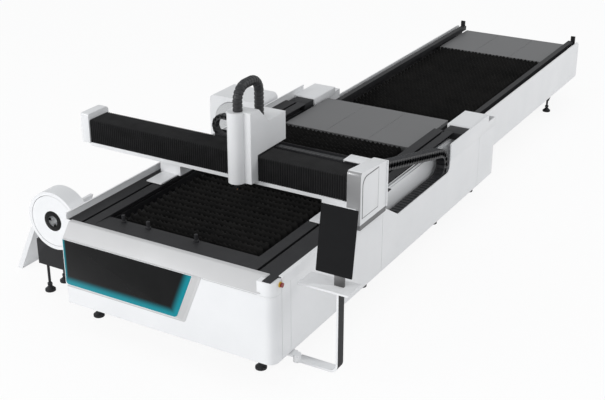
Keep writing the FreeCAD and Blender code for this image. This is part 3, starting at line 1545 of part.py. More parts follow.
def console():
    low = "panel_bottom - skin - pivot_plate"
    near, far = "pivot_y - 50", "pivot_y + 50"
    bracket = joined(
        slab("bed_right - skin - 100", "pivot_x - 20", near, far, low, f"{low} + pivot_plate"),
        rod("Z", "pivot_x", "pivot_y", low, "pivot_radius", "pivot_plate"),
        slab(f"{right_outside} - 40", "bed_right - skin - 60", near, far, low, "side_beam_foot"),
    )
    node("console_bracket", bracket)
    hub = rod("Z", "pivot_x", "pivot_y", f"{low} - seat - 60", "pivot_radius", "60")
    left, right = "post_x - arm_sheet", "post_x"
    foot = "arm_height - arm_sheet"
    arm = padded(
        "XZ",
        [("pivot_x", foot), (right, foot), (right, "tray_height - seat"), (left, "tray_height - seat"),
         (left, "arm_height"), ("pivot_x", "arm_height")],
        "arm_width", "-tray_front - arm_width - 3",
    )
    rounded_edges(arm, "arm_bend", level_at(right, foot))
    rounded_edges(arm, "arm_bend - arm_sheet", level_at(left, "arm_height"))
    node("console_arm", joined(hub, arm))
    tray = padded(
        "XY",
        [("tray_left", "tray_front"), ("tray_right", "tray_front"), ("tray_right", "tray_rear"),
         ("tray_left", "tray_rear")],
        "tray_sheet", "tray_height",
    )
    neck_front = "monitor_y + monitor_thick + neck_gap"
    deep = (neck_front, f"{neck_front} + neck_depth")
    neck = slab("monitor_middle - ear_outside", "monitor_middle + ear_outside", *deep,
                "tray_height + tray_sheet - 1", "monitor_foot - 4")
    ears = []
    for sign in (-1, 1):
        near, far = (f"monitor_middle + {sign} * ({reach})" for reach in ("lug_half + 1", "ear_outside"))
        ears.append(slab(*(near, far)[::sign], *deep, "monitor_foot - 5", "monitor_foot + tilt_rise + 16"))
    holes = rod("X", "monitor_middle - ear_outside - 1", f"{neck_front} + neck_depth / 2",
                "monitor_foot + tilt_rise", "tilt_pin + seat", "2 * ear_outside + 2")
    node("console_tray", cut(joined(tray, neck, *ears), holes))


def monitor():
    """The upright screen, leaning back about the pin between the neck's two ears."""
    width, tall, thick = number("monitor_width"), number("monitor_tall"), number("monitor_thick")
    middle, front, foot_z = number("monitor_middle"), number("monitor_y"), number("monitor_foot")
    half, ear, glass_depth = number("lug_half"), number("ear_outside"), number("skin")
    bezel = number("monitor_bezel")
    axis_y = front + thick + number("neck_gap + neck_depth / 2")
    axis_z = foot_z + number("tilt_rise")
    shell = Part.makeBox(width, thick - glass_depth, tall, point(middle - width / 2, front + glass_depth,
                                                                 foot_z + 2))
    upright = [e for e in shell.Edges if abs(e.Vertexes[0].Z - e.Vertexes[1].Z) > 10]
    shell = shell.makeFillet(number("skin"), upright)
    lug = Part.makeBox(2 * half, number("lug_depth"), number("lug_height"),
                       point(middle - half, front + thick - 2, foot_z + 5))
    pin = Part.makeCylinder(number("tilt_pin"), 2 * ear, point(middle - ear, axis_y, axis_z), Vector(1, 0,
                                                                                                     0))
    shell = shell.fuse([lug, pin]).removeSplitter()
    glass = Part.makeBox(width - 2 * bezel, glass_depth - number("seat"), tall - 2 * bezel,
                         point(middle - width / 2 + bezel, front, foot_z + 2 + bezel))
    for name, shape in (("monitor_housing", shell), ("monitor_screen", glass)):
        leaning = shape.copy()
        leaning.rotate(point(middle, axis_y, axis_z), Vector(1, 0, 0), -number("monitor_lean"))
        solid_node(name, leaning)


def emergency_stop():
    """A mushroom button in a collar, on the right face of the fascia."""
    face = "bed_right"
    at = ("stop_button_y", "stop_button_z")
    collar = rod("X", face, *at, "stop_button_radius + 4", "stop_collar")
    hole = rod("X", f"{face} - 1", *at, "stop_stem + seat", "stop_collar + 2")
    node("stop_button_collar", cut(collar, hole))
    cap_gap = "stop_collar + stop_travel + seat"
    stem = rod("X", f"{face} + seat", *at, "stop_stem", f"{cap_gap} + 1")
    cap = rod("X", f"{face} + {cap_gap}", *at, "stop_button_radius", "stop_cap")
    node("stop_button", joined(stem, cap))


# ---- build ---------------------------------------------------------------------------------

bed_frame()
scrap_hopper()
front_panel()
front_window()
window_light_strip()
front_fascia()
right_side_panel()
left_side_panel()
rail_covers()
front_sill()
end_blocks()
rails_and_racks()
chain_tray()
pallet_tracks()
pallet("upper_pallet", "pallet_front", "upper_tip")
pallet("lower_pallet", "changer_end - 50 - pallet_length", "upper_tip - level_step")
changer_frame()
changer_side_panels()
levelling_feet()
gantry_beam()
beam_end_cap()
x_rails()
bellows("left_bellows", number("beam_left"), number(carriage_left))
bellows("right_bellows", number(carriage_right), number("bellows_right"))
carriage_plate()
right_housing()
saddles()
gantry_motors()
chain_trough()
y_drag_chain()
x_drag_chain()
head_cover()
cutting_head()
head_conduit()
chuck_base()
front_chuck()
discharge_chute()
feed_bed()
rear_chuck()
console()
monitor()
emergency_stop()
doc.recompute()

for item in doc.Objects:
    if "Invalid" in item.State or "Error" in item.State:
        raise RuntimeError(f"{item.Name} ({item.Label}) failed: {item.State}")
for item in NODES:
    if item.Shape.isNull() or not item.Shape.isValid() or not item.Shape.Solids:
        raise RuntimeError(f"{item.Label} has no valid shape")
for item in NODES:
    item.Shape.exportStep(f"parts/{item.Label}.step")
print(len(NODES), "sub-parts written")
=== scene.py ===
import json
import math
import bmesh
import bpy
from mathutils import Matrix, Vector
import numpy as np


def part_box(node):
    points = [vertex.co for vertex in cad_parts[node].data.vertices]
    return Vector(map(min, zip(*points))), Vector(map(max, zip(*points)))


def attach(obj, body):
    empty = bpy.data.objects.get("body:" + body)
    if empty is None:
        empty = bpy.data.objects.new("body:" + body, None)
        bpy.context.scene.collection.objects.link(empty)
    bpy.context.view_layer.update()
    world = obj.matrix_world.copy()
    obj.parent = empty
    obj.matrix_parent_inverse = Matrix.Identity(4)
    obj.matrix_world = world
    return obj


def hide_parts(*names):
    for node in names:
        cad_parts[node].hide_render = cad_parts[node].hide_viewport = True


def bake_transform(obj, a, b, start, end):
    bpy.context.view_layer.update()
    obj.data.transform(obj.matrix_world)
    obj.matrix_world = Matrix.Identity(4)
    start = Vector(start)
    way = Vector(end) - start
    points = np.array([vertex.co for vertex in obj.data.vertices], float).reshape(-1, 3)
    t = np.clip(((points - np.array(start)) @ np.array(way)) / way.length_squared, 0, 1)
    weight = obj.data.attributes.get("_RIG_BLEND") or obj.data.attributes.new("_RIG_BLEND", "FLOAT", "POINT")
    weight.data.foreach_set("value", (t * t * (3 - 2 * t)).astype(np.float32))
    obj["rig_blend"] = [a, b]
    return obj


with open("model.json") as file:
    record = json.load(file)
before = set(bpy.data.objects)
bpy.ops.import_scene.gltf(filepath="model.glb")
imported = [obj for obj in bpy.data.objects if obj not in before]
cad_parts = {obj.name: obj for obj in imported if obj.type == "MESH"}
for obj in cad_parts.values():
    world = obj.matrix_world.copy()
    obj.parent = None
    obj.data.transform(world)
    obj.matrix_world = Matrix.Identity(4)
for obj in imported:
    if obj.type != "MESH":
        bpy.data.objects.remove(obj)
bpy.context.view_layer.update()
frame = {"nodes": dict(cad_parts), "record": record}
nodes = frame["nodes"]
bpy.ops.object.select_all(action="DESELECT")
print("frame loaded:", len(nodes), "nodes")


# camera at the photograph's place, soft lights and a pale floor

view = {
    "place": (5.8135, -11.440, 5.453),
    "yaw": 30.182,
    "pitch": 23.978,
    "focalPixels": 1135.05,
    "imageWidth": 605,
    "sensor": 36,
    "farthest": 200,
}
bpy.ops.object.camera_add(location=view["place"])
camera = bpy.context.object
camera.rotation_euler = (math.radians(90 - view["pitch"]), 0, math.radians(view["yaw"]))
camera.data.sensor_width = view["sensor"]
camera.data.lens = view["focalPixels"] * view["sensor"] / view["imageWidth"]
camera.data.clip_end = view["farthest"]
bpy.context.scene.camera = camera
bpy.context.scene.view_settings.view_transform = "Standard"

lamps = [  # place, target, width, height, watts
    ((-9, -15, 5.5), (0, -2, 0.6), 6, 5, 900),
    ((4, -15, 7), (0.5, -4, 0.5), 7, 5, 300),
    ((9, 5, 9), (0, 1, 0.8), 8, 8, 330),
]
for place, target, width, height, watts in lamps:
    bpy.ops.object.light_add(type="AREA", location=place)
    lamp = bpy.context.object
    lamp.rotation_euler = (Vector(target) - Vector(place)).to_track_quat("-Z", "Y").to_euler()
    lamp.data.shape = "RECTANGLE"
    lamp.data.size, lamp.data.size_y = width, height
    lamp.data.energy = watts

studio = {"sky": (0.97, 0.985, 1.0), "skyStrength": 0.62, "floor": (0.95, 0.95, 0.955), "floorSize": 140,
          "floorDrop": 0.002, "floorWhite": 0.9}
world = bpy.data.worlds.new("studioLight")
world.use_nodes = True
bpy.context.scene.world = world
worldTree = world.node_tree
sky = worldTree.nodes["Background"]
sky.inputs["Color"].default_value = (*studio["sky"], 1)
sky.inputs["Strength"].default_value = studio["skyStrength"]
seen, backdrop, choice = (worldTree.nodes.new("ShaderNode" + kind)
                          for kind in ("LightPath", "Background", "MixShader"))
backdrop.inputs["Color"].default_value = (1, 1, 1, 1)
for source, target in ((seen.outputs["Is Camera Ray"], choice.inputs[0]),
                       (sky.outputs[0], choice.inputs[1]),
                       (backdrop.outputs[0], choice.inputs[2]),
                       (choice.outputs[0], worldTree.nodes["World Output"].inputs["Surface"])):
    worldTree.links.new(source, target)

bpy.ops.mesh.primitive_plane_add(size=studio["floorSize"], location=(0, 0, -studio["floorDrop"]))
floor = bpy.context.object
floor.name = "studioFloor"


# shared shader groups

def setInputs(node, values):
    for name, value in values.items():
        node.inputs[name].default_value = value


def addNode(tree, kind, values=None, **settings):
    node = tree.nodes.new(kind)
    for name, value in settings.items():
        setattr(node, name, value)
    setInputs(node, values or {})
    return node


def mathNode(tree, operation, first, second):
    node = addNode(tree, "ShaderNodeMath", operation=operation)
    for socket, value in zip(node.inputs, (first, second)):
        if isinstance(value, (int, float)):
            socket.default_value = value
        else:
            tree.links.new(value, socket)
    return node.outputs[0]


def newGroup(name, inputs, outputs):  # a group takes a place, then numbers or directions by name
    group = bpy.data.node_groups.new(name, "ShaderNodeTree")
    for label, value in {"Vector": None, **inputs}.items():
        kind = "NodeSocketFloat" if isinstance(value, (int, float)) else "NodeSocketVector"
        socket = group.interface.new_socket(name=label, in_out="INPUT", socket_type=kind)
        if value is not None:
            socket.default_value = value
    for label in outputs:
        kind = "NodeSocketVector" if label == "Normal" else "NodeSocketFloat"
        group.interface.new_socket(name=label, in_out="OUTPUT", socket_type=kind)
    return group, group.nodes.new("NodeGroupInput"), group.nodes.new("NodeGroupOutput")


def noiseIn(group, inside, detail, roughness, scale, vector=None):  # its scale is a number or an input's name
    noise = addNode(group, "ShaderNodeTexNoise", {"Detail": detail, "Roughness": roughness})
    group.links.new(vector or inside.outputs["Vector"], noise.inputs["Vector"])
    if isinstance(scale, str):
        group.links.new(inside.outputs[scale], noise.inputs["Scale"])
    else:
        noise.inputs["Scale"].default_value = scale
    return noise.outputs["Fac"]


def makePaintSkin():  # orange peel in the coat, and slow changes of its shade
    group, inside, outside = newGroup("paintSkin", {"Scale": 700, "Patch": 1.6}, ["Height", "Shade"])
    group.links.new(noiseIn(group, inside, 2, 0.45, "Scale"), outside.inputs["Height"])
    group.links.new(noiseIn(group, inside, 3, 0.6, "Patch"), outside.inputs["Shade"])
    return group


def makeEdgeWear():  # rounds sharp edges in the shading and marks where they are
    group, inside, outside = newGroup("edgeWear", {"Radius": 0.003, "Break": 14}, ["Normal", "Edge"])
    bevel = addNode(group, "ShaderNodeBevel", samples=4)
    geometry = group.nodes.new("ShaderNodeNewGeometry")
    compare = addNode(group, "ShaderNodeVectorMath", operation="DOT_PRODUCT")
    group.links.new(inside.outputs["Radius"], bevel.inputs["Radius"])
    group.links.new(bevel.outputs["Normal"], compare.inputs[0])
    group.links.new(geometry.outputs["Normal"], compare.inputs[1])
    turned = mathNode(group, "SUBTRACT", 1.0, compare.outputs["Value"])
    strong = mathNode(group, "MULTIPLY", turned, 7.0)
    broken = mathNode(group, "MULTIPLY", strong, noiseIn(group, inside, 4, 0.65, "Break"))
    group.links.new(mathNode(group, "MINIMUM", broken, 1.0), outside.inputs["Edge"])
    group.links.new(bevel.outputs["Normal"], outside.inputs["Normal"])
    return group


def makeBrushed():  # fine lines along one direction, as rolling or grinding leaves them
    group, inside, outside = newGroup("brushed", {"Stretch": (1, 60, 60), "Scale": 30}, ["Shade", "Height"])
    stretch = addNode(group, "ShaderNodeVectorMath", operation="MULTIPLY")
    group.links.new(inside.outputs["Vector"], stretch.inputs[0])
    group.links.new(inside.outputs["Stretch"], stretch.inputs[1])
    lines = noiseIn(group, inside, 4, 0.7, "Scale", stretch.outputs["Vector"])
    blotch = noiseIn(group, inside, 3, 0.5, 2.2)
    mostly, partly = mathNode(group, "MULTIPLY", lines, 0.6), mathNode(group, "MULTIPLY", blotch, 0.4)
    group.links.new(mathNode(group, "ADD", mostly, partly), outside.inputs["Shade"])
    group.links.new(lines, outside.inputs["Height"])
    return group


def makeDust():  # a thin film on faces that look up, thicker in patches
    group, inside, outside = newGroup("dust", {"Scale": 5, "Amount": 0.3}, ["Mask"])
    geometry = group.nodes.new("ShaderNodeNewGeometry")
    split = group.nodes.new("ShaderNodeSeparateXYZ")
    group.links.new(geometry.outputs["Normal"], split.inputs[0])
    up = mathNode(group, "MAXIMUM", split.outputs["Z"], 0.0)
    patchy = mathNode(group, "MULTIPLY", up, noiseIn(group, inside, 6, 0.7, "Scale"))
    group.links.new(mathNode(group, "MULTIPLY", patchy, inside.outputs["Amount"]), outside.inputs["Mask"])
    return group


def makeWeave():  # coated cloth: threads both ways
    group, inside, outside = newGroup("weave", {"Scale": 260}, ["Height", "Shade"])
    threads = []
    for direction in ("X", "Z"):
        wave = addNode(group, "ShaderNodeTexWave", {"Distortion": 0.6, "Detail": 1},
                       bands_direction=direction)
        group.links.new(inside.outputs["Vector"], wave.inputs["Vector"])
        group.links.new(inside.outputs["Scale"], wave.inputs["Scale"])
        threads.append(wave.outputs["Fac"])
    group.links.new(mathNode(group, "MULTIPLY", *threads), outside.inputs["Height"])
    group.links.new(noiseIn(group, inside, 4, 0.5, 9), outside.inputs["Shade"])
    return group


groups = {"skin": makePaintSkin(), "edge": makeEdgeWear(), "brushed": makeBrushed(), "dust": makeDust(),
          "weave": makeWeave()}
print("shader groups ready:", len(groups))


# materials: each starts from newFinish, which gives its shader and the coordinates for its groups

def newFinish(name):
    material = bpy.data.materials.new(name)
    material.use_nodes = True
    tree = material.node_tree
    place = tree.nodes.new("ShaderNodeTexCoord").outputs["Object"]
    return material, tree, tree.nodes["Principled BSDF"], place


def useGroup(tree, kind, place, **values):
    node = addNode(tree, "ShaderNodeGroup", node_tree=groups[kind])
    setInputs(node, values)
    tree.links.new(place, node.inputs["Vector"])
    return node


def mixColours(tree, share, first, second):
    mix = addNode(tree, "ShaderNodeMix", data_type="RGBA")
    for socket, value in ((mix.inputs["Factor"], share), (mix.inputs["A"], first), (mix.inputs["B"], second)):
        if isinstance(value, tuple):
            socket.default_value = (*value, 1)
        else:
            tree.links.new(value, socket)
    return mix.outputs["Result"]


def addRelief(tree, shader, height, depth, normal=None):
    bump = addNode(tree, "ShaderNodeBump", {"Strength": depth, "Distance": 0.0006})
    tree.links.new(height, bump.inputs["Height"])
    if normal is not None:
        tree.links.new(normal, bump.inputs["Normal"])
    tree.links.new(bump.outputs["Normal"], shader.inputs["Normal"])


def spread(tree, value, low, high):
    scale = addNode(tree, "ShaderNodeMapRange", {"From Min": 0.3, "From Max": 0.7,
                                                 "To Min": low, "To Max": high})
    tree.links.new(value, scale.inputs["Value"])
    return scale.outputs["Result"]


def twoShades(tree, share, look):
    return mixColours(tree, spread(tree, share, 0, 1), look["colour"], look["shade"])


def glossOf(tree, share, look, less, more):  # roughness that changes a little over the surface
    return spread(tree, share, look["roughness"] - less, look["roughness"] + more)


def paintFinish(name, look):
    material, tree, shader, place = newFinish(name)
    skin = useGroup(tree, "skin", place, Scale=look["peel"], Patch=look.get("patch", 1.6))
    edge = useGroup(tree, "edge", place, Radius=look["edgeRadius"])
    film = useGroup(tree, "dust", place, Amount=look["dust"])
    shade, mask = skin.outputs["Shade"], film.outputs["Mask"]
    worn = mixColours(tree, edge.outputs["Edge"], twoShades(tree, shade, look), look["edge"])
    tree.links.new(mixColours(tree, mask, worn, look.get("dustColour", grey)), shader.inputs["Base Color"])
    gloss, dull = glossOf(tree, shade, look, 0.04, 0.05), mathNode(tree, "MULTIPLY", mask, 0.5)
    tree.links.new(mathNode(tree, "ADD", gloss, dull), shader.inputs["Roughness"])
    setInputs(shader, {"Metallic": look.get("metallic", 0), "Specular IOR Level": look.get("specular", 0.5),
                       "Coat Weight": look.get("coat", 0)})
    addRelief(tree, shader, skin.outputs["Height"], look["relief"], edge.outputs["Normal"])
    return material


def metalFinish(name, look):
    material, tree, shader, place = newFinish(name)
    lines = useGroup(tree, "brushed", place, Stretch=look["stretch"], Scale=look["lines"])
    edge = useGroup(tree, "edge", place, Radius=look["edgeRadius"])
    shade = lines.outputs["Shade"]
    worn = mixColours(tree, edge.outputs["Edge"], twoShades(tree, shade, look), look["edge"])
    tree.links.new(worn, shader.inputs["Base Color"])
    tree.links.new(glossOf(tree, shade, look, 0.07, 0.08), shader.inputs["Roughness"])
    shader.inputs["Metallic"].default_value = look.get("metallic", 1)
    addRelief(tree, shader, lines.outputs["Height"], look["relief"], edge.outputs["Normal"])
    return material


def clothFinish(name, look):
    material, tree, shader, place = newFinish(name)
    weave = useGroup(tree, "weave", place, Scale=look["threads"])
    film = useGroup(tree, "dust", place, Amount=look["dust"], Scale=7)
    base = twoShades(tree, weave.outputs["Shade"], look)
    dusty = mixColours(tree, film.outputs["Mask"], base, look["dustColour"])
    tree.links.new(dusty, shader.inputs["Base Color"])
    setInputs(shader, {"Roughness": look["roughness"], "Specular IOR Level": look["specular"],
                       "Sheen Weight": look["sheen"]})
    addRelief(tree, shader, weave.outputs["Height"], look["relief"])
    return material


def glassFinish(name, look):  # black glass: smudges change its gloss a little
    material, tree, shader, place = newFinish(name)
    shade = useGroup(tree, "skin", place, Scale=look["smudge"], Patch=look["patch"]).outputs["Shade"]
    tree.links.new(twoShades(tree, shade, look), shader.inputs["Base Color"])
    tree.links.new(glossOf(tree, shade, look, 0, 0.05), shader.inputs["Roughness"])
    shader.inputs["Specular IOR Level"].default_value = look["specular"]
    return material


def lampFinish(name, look):  # milky strip lit from behind, a little uneven
    material, tree, shader, place = newFinish(name)
    shade = useGroup(tree, "skin", place, Scale=60, Patch=look["patch"]).outputs["Shade"]
    glow = twoShades(tree, shade, look)
    tree.links.new(glow, shader.inputs["Base Color"])
    tree.links.new(glow, shader.inputs["Emission Color"])
    setInputs(shader, {"Emission Strength": look["strength"], "Roughness": 0.4})
    return material


# looks: colours are linear, lengths in metres, and peel, lines and threads are waves per metre

grey = (0.42, 0.42, 0.41)  # dust
paints = {
    "painted_white": {"colour": (0.80, 0.805, 0.815), "shade": (0.76, 0.768, 0.78),
        "edge": (0.88, 0.88, 0.88), "roughness": 0.33, "peel": 620, "relief": 0.12, "edgeRadius": 0.004,
        "dust": 0.05, "dustColour": (0.6, 0.6, 0.58), "coat": 0.25},
    "grey_cover": {"colour": (0.56, 0.56, 0.565), "shade": (0.52, 0.52, 0.525), "edge": (0.7, 0.7, 0.7),
        "roughness": 0.4, "peel": 620, "relief": 0.15, "edgeRadius": 0.003, "dust": 0.05,
        "dustColour": (0.5, 0.5, 0.48)},
    "dark_sheet": {"colour": (0.022, 0.022, 0.024), "shade": (0.030, 0.030, 0.032),
        "edge": (0.12, 0.12, 0.125), "roughness": 0.5, "peel": 850, "relief": 0.25, "edgeRadius": 0.0025,
        "dust": 0.04, "specular": 0.12},
    "black_steel": {"colour": (0.012, 0.012, 0.013), "shade": (0.019, 0.019, 0.021),
        "edge": (0.09, 0.09, 0.095), "roughness": 0.5, "peel": 500, "relief": 0.3, "edgeRadius": 0.003,
        "dust": 0.05, "specular": 0.2},
    "motor_black": {"colour": (0.018, 0.018, 0.02), "shade": (0.026, 0.026, 0.029),
        "edge": (0.16, 0.16, 0.17), "roughness": 0.38, "peel": 900, "relief": 0.2, "edgeRadius": 0.002,
        "dust": 0.04, "specular": 0.25},
    "pallet_steel": {"colour": (0.010, 0.010, 0.011), "shade": (0.018, 0.018, 0.019),
        "edge": (0.06, 0.06, 0.062), "roughness": 0.55, "peel": 260, "relief": 0.4, "edgeRadius": 0.003,
        "dust": 0.04, "specular": 0.25},
    "slat_steel": {"colour": (0.006, 0.006, 0.006), "shade": (0.013, 0.0125, 0.012),
        "edge": (0.045, 0.043, 0.04), "roughness": 0.6, "peel": 180, "relief": 0.5, "edgeRadius": 0.0015,
        "dust": 0.01, "specular": 0.15, "patch": 4},
    # painted glints: the bluish edge and dust colours stand for blue-grey glints on the chain, over its edge
    # wear and dust
    "chain_plastic": {"colour": (0.010, 0.010, 0.011), "shade": (0.016, 0.016, 0.018),
        "edge": (0.04, 0.045, 0.055), "roughness": 0.42, "peel": 1200, "relief": 0.15, "edgeRadius": 0.0015,
        "dust": 0.05, "dustColour": (0.3, 0.33, 0.36)},
    "monitor_shell": {"colour": (0.012, 0.012, 0.013), "shade": (0.016, 0.016, 0.018),
        "edge": (0.07, 0.07, 0.075), "roughness": 0.35, "peel": 1500, "relief": 0.1, "edgeRadius": 0.002,
        "dust": 0.02, "specular": 0.1},
    "yellow_plastic": {"colour": (0.72, 0.47, 0.03), "shade": (0.66, 0.42, 0.025), "edge": (0.8, 0.6, 0.15),
        "roughness": 0.35, "peel": 1600, "relief": 0.1, "edgeRadius": 0.001, "dust": 0.03},
    "red_plastic": {"colour": (0.28, 0.012, 0.010), "shade": (0.22, 0.010, 0.009),
        "edge": (0.4, 0.05, 0.04), "roughness": 0.3, "peel": 1600, "relief": 0.08, "edgeRadius": 0.001,
        "dust": 0.03},
    "grey_front": {"colour": (0.36, 0.36, 0.365), "shade": (0.31, 0.31, 0.315), "edge": (0.62, 0.62, 0.62),
        "roughness": 0.3, "peel": 900, "relief": 0.08, "edgeRadius": 0.003, "dust": 0.03, "metallic": 0.25},
}
metals = {
    "grey_plate": {"colour": (0.155, 0.155, 0.157), "shade": (0.195, 0.195, 0.197),
        "edge": (0.34, 0.34, 0.34), "roughness": 0.5, "metallic": 0.35, "stretch": (40, 1, 40), "lines": 26,
        "relief": 0.12, "edgeRadius": 0.003},
    "galvanised_sheet": {"colour": (0.60, 0.61, 0.62), "shade": (0.72, 0.73, 0.74),
        "edge": (0.85, 0.85, 0.86), "roughness": 0.36, "metallic": 0.6, "stretch": (6, 6, 6), "lines": 7,
        "relief": 0.1, "edgeRadius": 0.002},
    "ground_steel": {"colour": (0.46, 0.47, 0.48), "shade": (0.58, 0.59, 0.60), "edge": (0.75, 0.75, 0.76),
        "roughness": 0.25, "stretch": (60, 1, 60), "lines": 40, "relief": 0.12, "edgeRadius": 0.0015},
    "bright_steel": {"colour": (0.62, 0.63, 0.64), "shade": (0.72, 0.73, 0.74), "edge": (0.85, 0.85, 0.85),
        "roughness": 0.2, "stretch": (1, 50, 50), "lines": 45, "relief": 0.1, "edgeRadius": 0.0015},
    "dark_aluminium": {"colour": (0.10, 0.10, 0.105), "shade": (0.15, 0.15, 0.155),
        "edge": (0.3, 0.3, 0.31), "roughness": 0.36, "stretch": (50, 50, 1), "lines": 40, "relief": 0.15,
        "edgeRadius": 0.0015},
    "copper_nozzle": {"colour": (0.72, 0.34, 0.18), "shade": (0.80, 0.45, 0.27), "edge": (0.9, 0.6, 0.4),
        "roughness": 0.26, "stretch": (40, 40, 2), "lines": 70, "relief": 0.1, "edgeRadius": 0.0006},
}
cloths = {
    "bellows_cloth": {"colour": (0.012, 0.012, 0.0125), "shade": (0.019, 0.019, 0.02), "threads": 240,
        "roughness": 0.62, "specular": 0.12, "sheen": 0.02, "relief": 0.5, "dust": 0.12,
        "dustColour": (0.25, 0.25, 0.25)},
}
glasses = {
    "black_glass": {"colour": (0.004, 0.0042, 0.005), "shade": (0.006, 0.0063, 0.007), "roughness": 0.12,
        "smudge": 40, "patch": 3, "specular": 0.14},
}
litSheets = {
    "lit_diffuser": {"colour": (0.03, 0.50, 0.56), "shade": (0.06, 0.62, 0.66), "strength": 0.5,
        "patch": 3},
}
finishes = {}
for makeFinish, looks in ((paintFinish, paints), (metalFinish, metals), (clothFinish, cloths),
                          (glassFinish, glasses), (lampFinish, litSheets)):
    for slot, look in looks.items():
        firstWord, *otherWords = slot.split("_")
        finishes[slot] = makeFinish(firstWord + "".join(word.title() for word in otherWords), look)

slotOf = {part["node"]: part["material_slot"] for part in frame["record"]["subparts"]}
for name, node in nodes.items():
    node.data.materials.clear()
    node.data.materials.append(finishes[slotOf[name]])
print("materials ready:", len(finishes))


def floorFinish():  # white to the camera and in reflections, darker only where the object shades it
    material, tree, shader, _ = newFinish("studioFloor")
    setInputs(shader, {"Base Color": (*studio["floor"], 1), "Roughness": 0.9, "Specular IOR Level": 0.1})
    rays = tree.nodes.new("ShaderNodeLightPath")
    glow = addNode(tree, "ShaderNodeEmission", {"Color": (1, 1, 1, 1), "Strength": 1.0})
    blend = tree.nodes.new("ShaderNodeMixShader")
    shown = mathNode(tree, "MAXIMUM", rays.outputs["Is Camera Ray"], rays.outputs["Is Glossy Ray"])
    shown = mathNode(tree, "MAXIMUM", shown, rays.outputs["Is Transmission Ray"])
    tree.links.new(mathNode(tree, "MULTIPLY", shown, studio["floorWhite"]), blend.inputs[0])
    tree.links.new(shader.outputs[0], blend.inputs[1])
    tree.links.new(glow.outputs[0], blend.inputs[2])
    tree.links.new(blend.outputs[0], tree.nodes["Material Output"].inputs["Surface"])
    return material


floor.data.materials.append(floorFinish())


# modelling helpers

def activate(*pieces):  # selects these alone, with the first one active
    bpy.ops.object.select_all(action="DESELECT")
    for piece in pieces:
        piece.select_set(True)
    bpy.context.view_layer.objects.active = pieces[0]


def openEdit(piece):
    activate(piece)
    bpy.ops.object.mode_set(mode="EDIT")
    bpy.ops.mesh.select_all(action="DESELECT")


def closeEdit():
    bpy.ops.object.mode_set(mode="OBJECT")


def pick(piece, kind, rule):  # selects what the rule accepts, given its middle and, for faces, its normal
    bpy.ops.mesh.select_mode(type=kind)
    bpy.ops.mesh.select_all(action="DESELECT")
    shape = bmesh.from_edit_mesh(piece.data)
    if kind == "FACE":
        chosen = [face for face in shape.faces if rule(face.calc_center_median(), face.normal)]
    elif kind == "EDGE":
        chosen = [edge for edge in shape.edges if rule(*(vert.co for vert in edge.verts))]
    else:
        chosen = [vert for vert in shape.verts if rule(vert.co)]
    for item in chosen:
        item.select_set(True)
    shape.select_flush_mode()
    bmesh.update_edit_mesh(piece.data)
    return len(chosen)


def facing(axis, way=1):  # a rule for faces that look along an axis: one way, or both with way 0
    k = "xyz".index(axis)
    return lambda middle, normal: (normal[k] * way if way else abs(normal[k])) > 0.9


def useModifier(piece, kind, **settings):
    bpy.context.view_layer.objects.active = piece
    modifier = piece.modifiers.new(kind.lower(), kind)
    for name, value in settings.items():
        setattr(modifier, name, value)
    bpy.ops.object.modifier_apply(modifier=modifier.name)


def roundOff(piece, width, segments=2, angle=40):
    useModifier(piece, "BEVEL", width=width, segments=segments, limit_method="ANGLE",
                angle_limit=math.radians(angle))


def applyPlace():
    bpy.ops.object.transform_apply(location=True, rotation=True, scale=True)


def startBlock(name, low, high):
    bpy.ops.mesh.primitive_cube_add(size=1, location=[(a + b) / 2 for a, b in zip(low, high)])
    piece = bpy.context.object
    piece.name = name
    piece.scale = [b - a for a, b in zip(low, high)]
    applyPlace()
    return piece


def startRound(name, place, radius, length, axis="Z", sides=24):
    turns = {"X": (0, math.pi / 2, 0), "Y": (math.pi / 2, 0, 0), "Z": (0, 0, 0)}
    bpy.ops.mesh.primitive_cylinder_add(vertices=sides, radius=radius, depth=length, location=place,
                                        rotation=turns[axis])
    piece = bpy.context.object
    piece.name = name
    applyPlace()
    return piece


def stepFaces(piece, rule, thickness, push):  # insets faces and moves the inner ones along their normals
    openEdit(piece)
    if pick(piece, "FACE", rule):
        bpy.ops.mesh.inset(thickness=thickness, depth=push)
    closeEdit()


def movePoints(piece, rule, offset):
    openEdit(piece)
    pick(piece, "VERT", rule)
    bpy.ops.transform.translate(value=offset)
    closeEdit()


def roundEdges(piece, rule, radius, segments=4):
    openEdit(piece)
    pick(piece, "EDGE", rule)
    bpy.ops.mesh.bevel(offset=radius, segments=segments)
    closeEdit()


def combine(piece, operation, others):
    for other in others:
        useModifier(piece, "BOOLEAN", object=other, operation=operation, solver="EXACT")
        bpy.data.objects.remove(other)


def cutAway(piece, *cutters):
    combine(piece, "DIFFERENCE", cutters)


def fuseWith(piece, *others):
    combine(piece, "UNION", others)


def joinAll(pieces, name):
    activate(*pieces)
    if len(pieces) > 1:
        bpy.ops.object.join()
    pieces[0].name = name
    return pieces[0]


def copyOf(piece, move, turn=(0, 0, 0)):  # a copy with its own mesh, moved and turned about the origin
    twin = piece.copy()
    twin.data = piece.data.copy()
    bpy.context.collection.objects.link(twin)
    twin.location = Vector(move)
    twin.rotation_euler = turn
    return twin


def nodeCopy(name, node):  # a drawn part's shape, its loose triangles merged, to work on further
    piece = bpy.data.objects.new(name, nodes[node].data.copy())
    bpy.context.scene.collection.objects.link(piece)
    useModifier(piece, "WELD", merge_threshold=0.0002)
    return piece


def finishPiece(piece, body, slot, stands=(), angle=30):
    activate(piece)
    applyPlace()
    bpy.ops.object.shade_smooth_by_angle(angle=math.radians(angle))
    piece.data.materials.clear()
    piece.data.materials.append(finishes[slot])
    if stands:
        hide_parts(*stands)
    if body:
        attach(piece, body)
    piece.select_set(False)
    return piece


def faceFinish(piece, slot, rule):  # a second finish on the faces that the rule picks
    piece.data.materials.append(finishes[slot])
    for face in piece.data.polygons:
        if rule(face.center, face.normal):
            face.material_index = len(piece.data.materials) - 1


